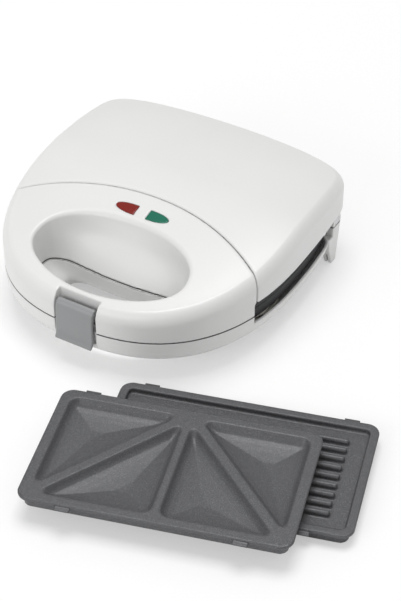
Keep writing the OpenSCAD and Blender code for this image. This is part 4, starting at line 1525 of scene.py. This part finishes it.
def grill_form(x: Values, y: Values, z: Values) -> Values:
    """Field of a ribbed grill plate, with its face at zero height.

    Args:
        x: Position across.
        y: Position along.
        z: Height over the face.

    Returns:
        Signed distance, negative inside.
    """
    basin, pitch, rows, reach, half = 4.5, 86.0 / 9.0, 4, 2.5, 82.0
    floor = round_both(PLATE.well(x, y, 0.5), between(z, -basin - PLATE.thick, -PLATE.thick / 2), 0.5)
    form = np.minimum(PLATE.blank(x, y, z), floor)
    hollow = round_both(PLATE.well(x, y, PLATE.thick), -basin - z, 1.6)
    form = round_both(form, -hollow, 0.8)
    row = np.clip(np.round(y / pitch), -rows, rows)
    across = np.sqrt((y - row * pitch) ** 2 + np.maximum(z + reach, 0.0) ** 2) - reach
    bars = round_both(across, np.abs(x) - half, 1.4)
    bars = np.maximum(bars, -basin - 1.0 - z)
    return round_either(form, bars, 0.9)


@dataclass(frozen=True)
class Plate:
    """Cast plate with a non-stick coat.

    Attributes:
        name: Name of the piece.
        body: The group that it moves with.
        node: The solid that it replaces.
        shape: Its field, face up at zero height.
        place: Where the middle of its face lies.
        yaw: Its turn over the table in degrees.
        cell: Size of a mesh cell.
        upside_down: Whether its face looks down.
    """

    name: str
    body: Body
    node: str
    shape: Shape
    place: Point
    yaw: float = 0.0
    cell: float = 1.2
    upside_down: bool = False

    def build(self) -> None:
        """Makes the plate."""
        sign = -1.0 if self.upside_down else 1.0

        def form(x: Values, y: Values, z: Values) -> Values:
            """Field of the plate as it lies."""
            return self.shape(x, y, z * sign)

        low, high = sorted((-12.5 * sign, 0.5 * sign))
        skin = skin_of(form, Block((-103.5, -64.5, low), (103.5, 63.5, high), self.cell))
        turn = Matrix.Translation(self.place) @ Matrix.Rotation(math.radians(self.yaw), 4, "Z")
        Piece(self.name, self.body, Finish.COAT, self.node).build([skin], turn)


# ---- Pieces that keep their solids ----


@dataclass(frozen=True)
class InnerParts:
    """Frames, fasteners, heating and wiring, which keep their solids and get their finishes.

    Attributes:
        solids: Each finish with the names of its solids.
    """

    solids: tuple[tuple[Finish, tuple[str, ...]], ...] = (
        (Finish.BLACK, ("lower_frame", "upper_frame", "lower_clip", "upper_clip", "lamp_holder")),
        (Finish.SHEET, ("lower_reflector", "upper_reflector")),
        (Finish.SHEATH, ("lower_element", "upper_element")),
        (Finish.CERAMIC, ("lower_terminals", "upper_terminals", "terminal_block", "thermal_fuse")),
        (Finish.STEEL, ("thermostat", "base_screws", "lid_screws")),
        (Finish.STEEL, ("hinge_pin_left", "hinge_pin_right", "latch_pin")),
        (Finish.SLEEVE, ("mains_lead", "lower_leads", "upper_leads")),
        (Finish.RUBBER, ("cord_bushing", "foot_pad_left", "foot_pad_right")),
        (Finish.LAMP, ("power_lamp", "ready_lamp")),
    )

    def dress(self) -> None:
        """Gives each carried-over solid its finish."""
        for finish, names in self.solids:
            for name in names:
                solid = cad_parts[name]
                solid.data.materials.clear()
                solid.data.materials.append(paint(finish))
                log.info("%s keeps its solid, %s", name, finish.name.lower())


# ---- Studio ----


@dataclass(frozen=True)
class Lamp:
    """Soft rectangular studio lamp.

    Attributes:
        name: Its name.
        place: Its place in metres, from the toaster's middle.
        target: The point that it looks at, from the toaster's middle.
        size: Its width and height in metres.
        power: Its power in watts.
    """

    name: str
    place: Point
    target: Point
    size: Span
    power: float

    def build(self, middle: Vector) -> None:
        """Sets the lamp up.

        Args:
            middle: The toaster's middle.
        """
        data = bpy.data.lights.new(self.name, "AREA")
        data.shape = "RECTANGLE"
        data.size, data.size_y = self.size
        data.energy = self.power
        lamp = bpy.data.objects.new(self.name, data)
        bpy.context.scene.collection.objects.link(lamp)
        lamp.location = middle + Vector(self.place)
        look = Vector(self.target) - Vector(self.place)
        lamp.rotation_euler = look.to_track_quat("-Z", "Y").to_euler()


@dataclass(frozen=True)
class Studio:
    """Pale floor, white surroundings, soft lamps and the photograph's camera.

    Attributes:
        azimuth: Camera's turn round the toaster in degrees.
        elevation: Camera's height over the horizon in degrees.
        aim: The point that the camera is turned to, before its shift, in the toaster's frame.
        distance: Camera's distance in millimetres.
        aside: Camera's shift to the right and up in millimetres.
        focal: Focal length in millimetres for a 36 mm sensor.
        backlight: Share of plain white in the floor as the camera sees it.
        ambient: Strength of the white light from all round.
        lamps: The lamps.
    """

    azimuth: float = 30.5098273
    elevation: float = 39.8566694
    aim: Point = (0.0, -7.6, SEAM)
    distance: float = 1468.14409
    aside: Span = (30.0521354, -55.7907044)
    focal: float = 103.65
    backlight: float = 0.4
    ambient: float = 0.5
    lamps: tuple[Lamp, ...] = (
        Lamp("key_lamp", (-0.15, 0.3, 2.9), (0.0, -0.05, 0.0), (1.6, 1.6), 45.0),
        Lamp("front_lamp", (-0.3, -2.2, 1.0), (0.0, 0.0, 0.04), (1.8, 1.0), 13.0),
    )

    def paper(self) -> bpy.types.Material:
        """Makes the floor's white paper, which the camera alone sees as lit from behind.

        Returns:
            The material.
        """
        nodes = Nodes("studio_paper")
        white = nodes.ramp(nodes.noise(3.0), [(0.3, (0.965, 0.965, 0.965)), (0.7, (0.97, 0.97, 0.97))])
        nodes.fill(nodes.shader, Base_Color=white, Roughness=0.85)
        seen = nodes.add("ShaderNodeLightPath").outputs["Is Camera Ray"]
        mix = nodes.add("ShaderNodeMixShader", Fac=nodes.compute("MULTIPLY", seen, self.backlight))
        nodes.put(nodes.shader.outputs["BSDF"], mix.inputs[1])
        nodes.put(nodes.add("ShaderNodeEmission").outputs["Emission"], mix.inputs[2])
        nodes.put(mix.outputs["Shader"], nodes.tree.nodes["Material Output"].inputs["Surface"])
        return nodes.material

    def floor(self) -> None:
        """Makes the pale floor, which takes the shadows."""
        reach = 6.0
        mesh = bpy.data.meshes.new("floor")
        corners = [(-reach, -reach, 0.0), (reach, -reach, 0.0), (reach, reach, 0.0), (-reach, reach, 0.0)]
        mesh.from_pydata([Vector(corner) for corner in corners], [], [(0, 1, 2, 3)])
        mesh.materials.append(self.paper())
        floor = bpy.data.objects.new("floor", mesh)
        floor.location.z = -0.0002
        bpy.context.scene.collection.objects.link(floor)

    def world(self) -> None:
        """Surrounds the scene with white."""
        world = bpy.data.worlds.new("white_room")
        world.use_nodes = True
        background = world.node_tree.nodes["Background"]
        background.inputs["Color"].default_value = (1.0, 1.0, 1.0, 1.0)
        background.inputs["Strength"].default_value = self.ambient
        bpy.context.scene.world = world

    def camera(self) -> None:
        """Sets the camera up as in the photograph."""
        turn, rise = math.radians(self.azimuth), math.radians(self.elevation)
        right = Vector((math.cos(turn), math.sin(turn), 0.0))
        back = Vector((math.sin(turn) * math.cos(rise), -math.cos(turn) * math.cos(rise), math.sin(rise)))
        up = back.cross(right)
        place = back * self.distance + right * self.aside[0] + up * self.aside[1] + Vector(self.aim)
        data = bpy.data.cameras.new("photo_camera")
        data.sensor_width = 36.0
        data.lens = self.focal
        camera = bpy.data.objects.new("photo_camera", data)
        bpy.context.scene.collection.objects.link(camera)
        axes = Matrix((right, up, back)).transposed().to_4x4()
        camera.matrix_world = Matrix.Translation(place * MM + toaster_shift()) @ axes
        bpy.context.scene.camera = camera

    def build(self) -> None:
        """Sets the whole studio up."""
        self.floor()
        self.world()
        for lamp in self.lamps:
            lamp.build(toaster_shift())
        self.camera()
        bpy.context.scene.view_settings.view_transform = "Standard"


# ---- The whole scene ----


def main() -> None:
    """Builds every piece, dresses the rest and sets the studio up."""
    logging.basicConfig(level=logging.INFO, format="%(name)s: %(message)s")
    LidMouldings().build()
    LowerHousing().build()
    Latch().build()
    for lens in (
        IndicatorLens(Side.LEFT, Finish.RED, "red_lens"),
        IndicatorLens(Side.RIGHT, Finish.GREEN, "green_lens"),
    ):
        lens.build()
    for plate in (
        Plate("lower_plate_cast", Body.BASE, "lower_plate", sandwich_form, (0.0, 6.5, 40.45), cell=1.6),
        Plate(
            "upper_plate_cast", Body.LID, "upper_plate", sandwich_form, (0.0, 6.5, 40.75), cell=1.6,
            upside_down=True,
        ),
        Plate(
            "spare_grill_cast", Body.GRILL, "spare_grill_plate", grill_form, (167.504, -185.081, 12.0), 16.0
        ),
        Plate(
            "spare_sandwich_cast", Body.SANDWICH, "spare_sandwich_plate", sandwich_form,
            (139.797, -226.316, 24.1), 16.0,
        ),
    ):
        plate.build()
    InnerParts().dress()
    Studio().build()


if __name__ == "__main__":
    main()
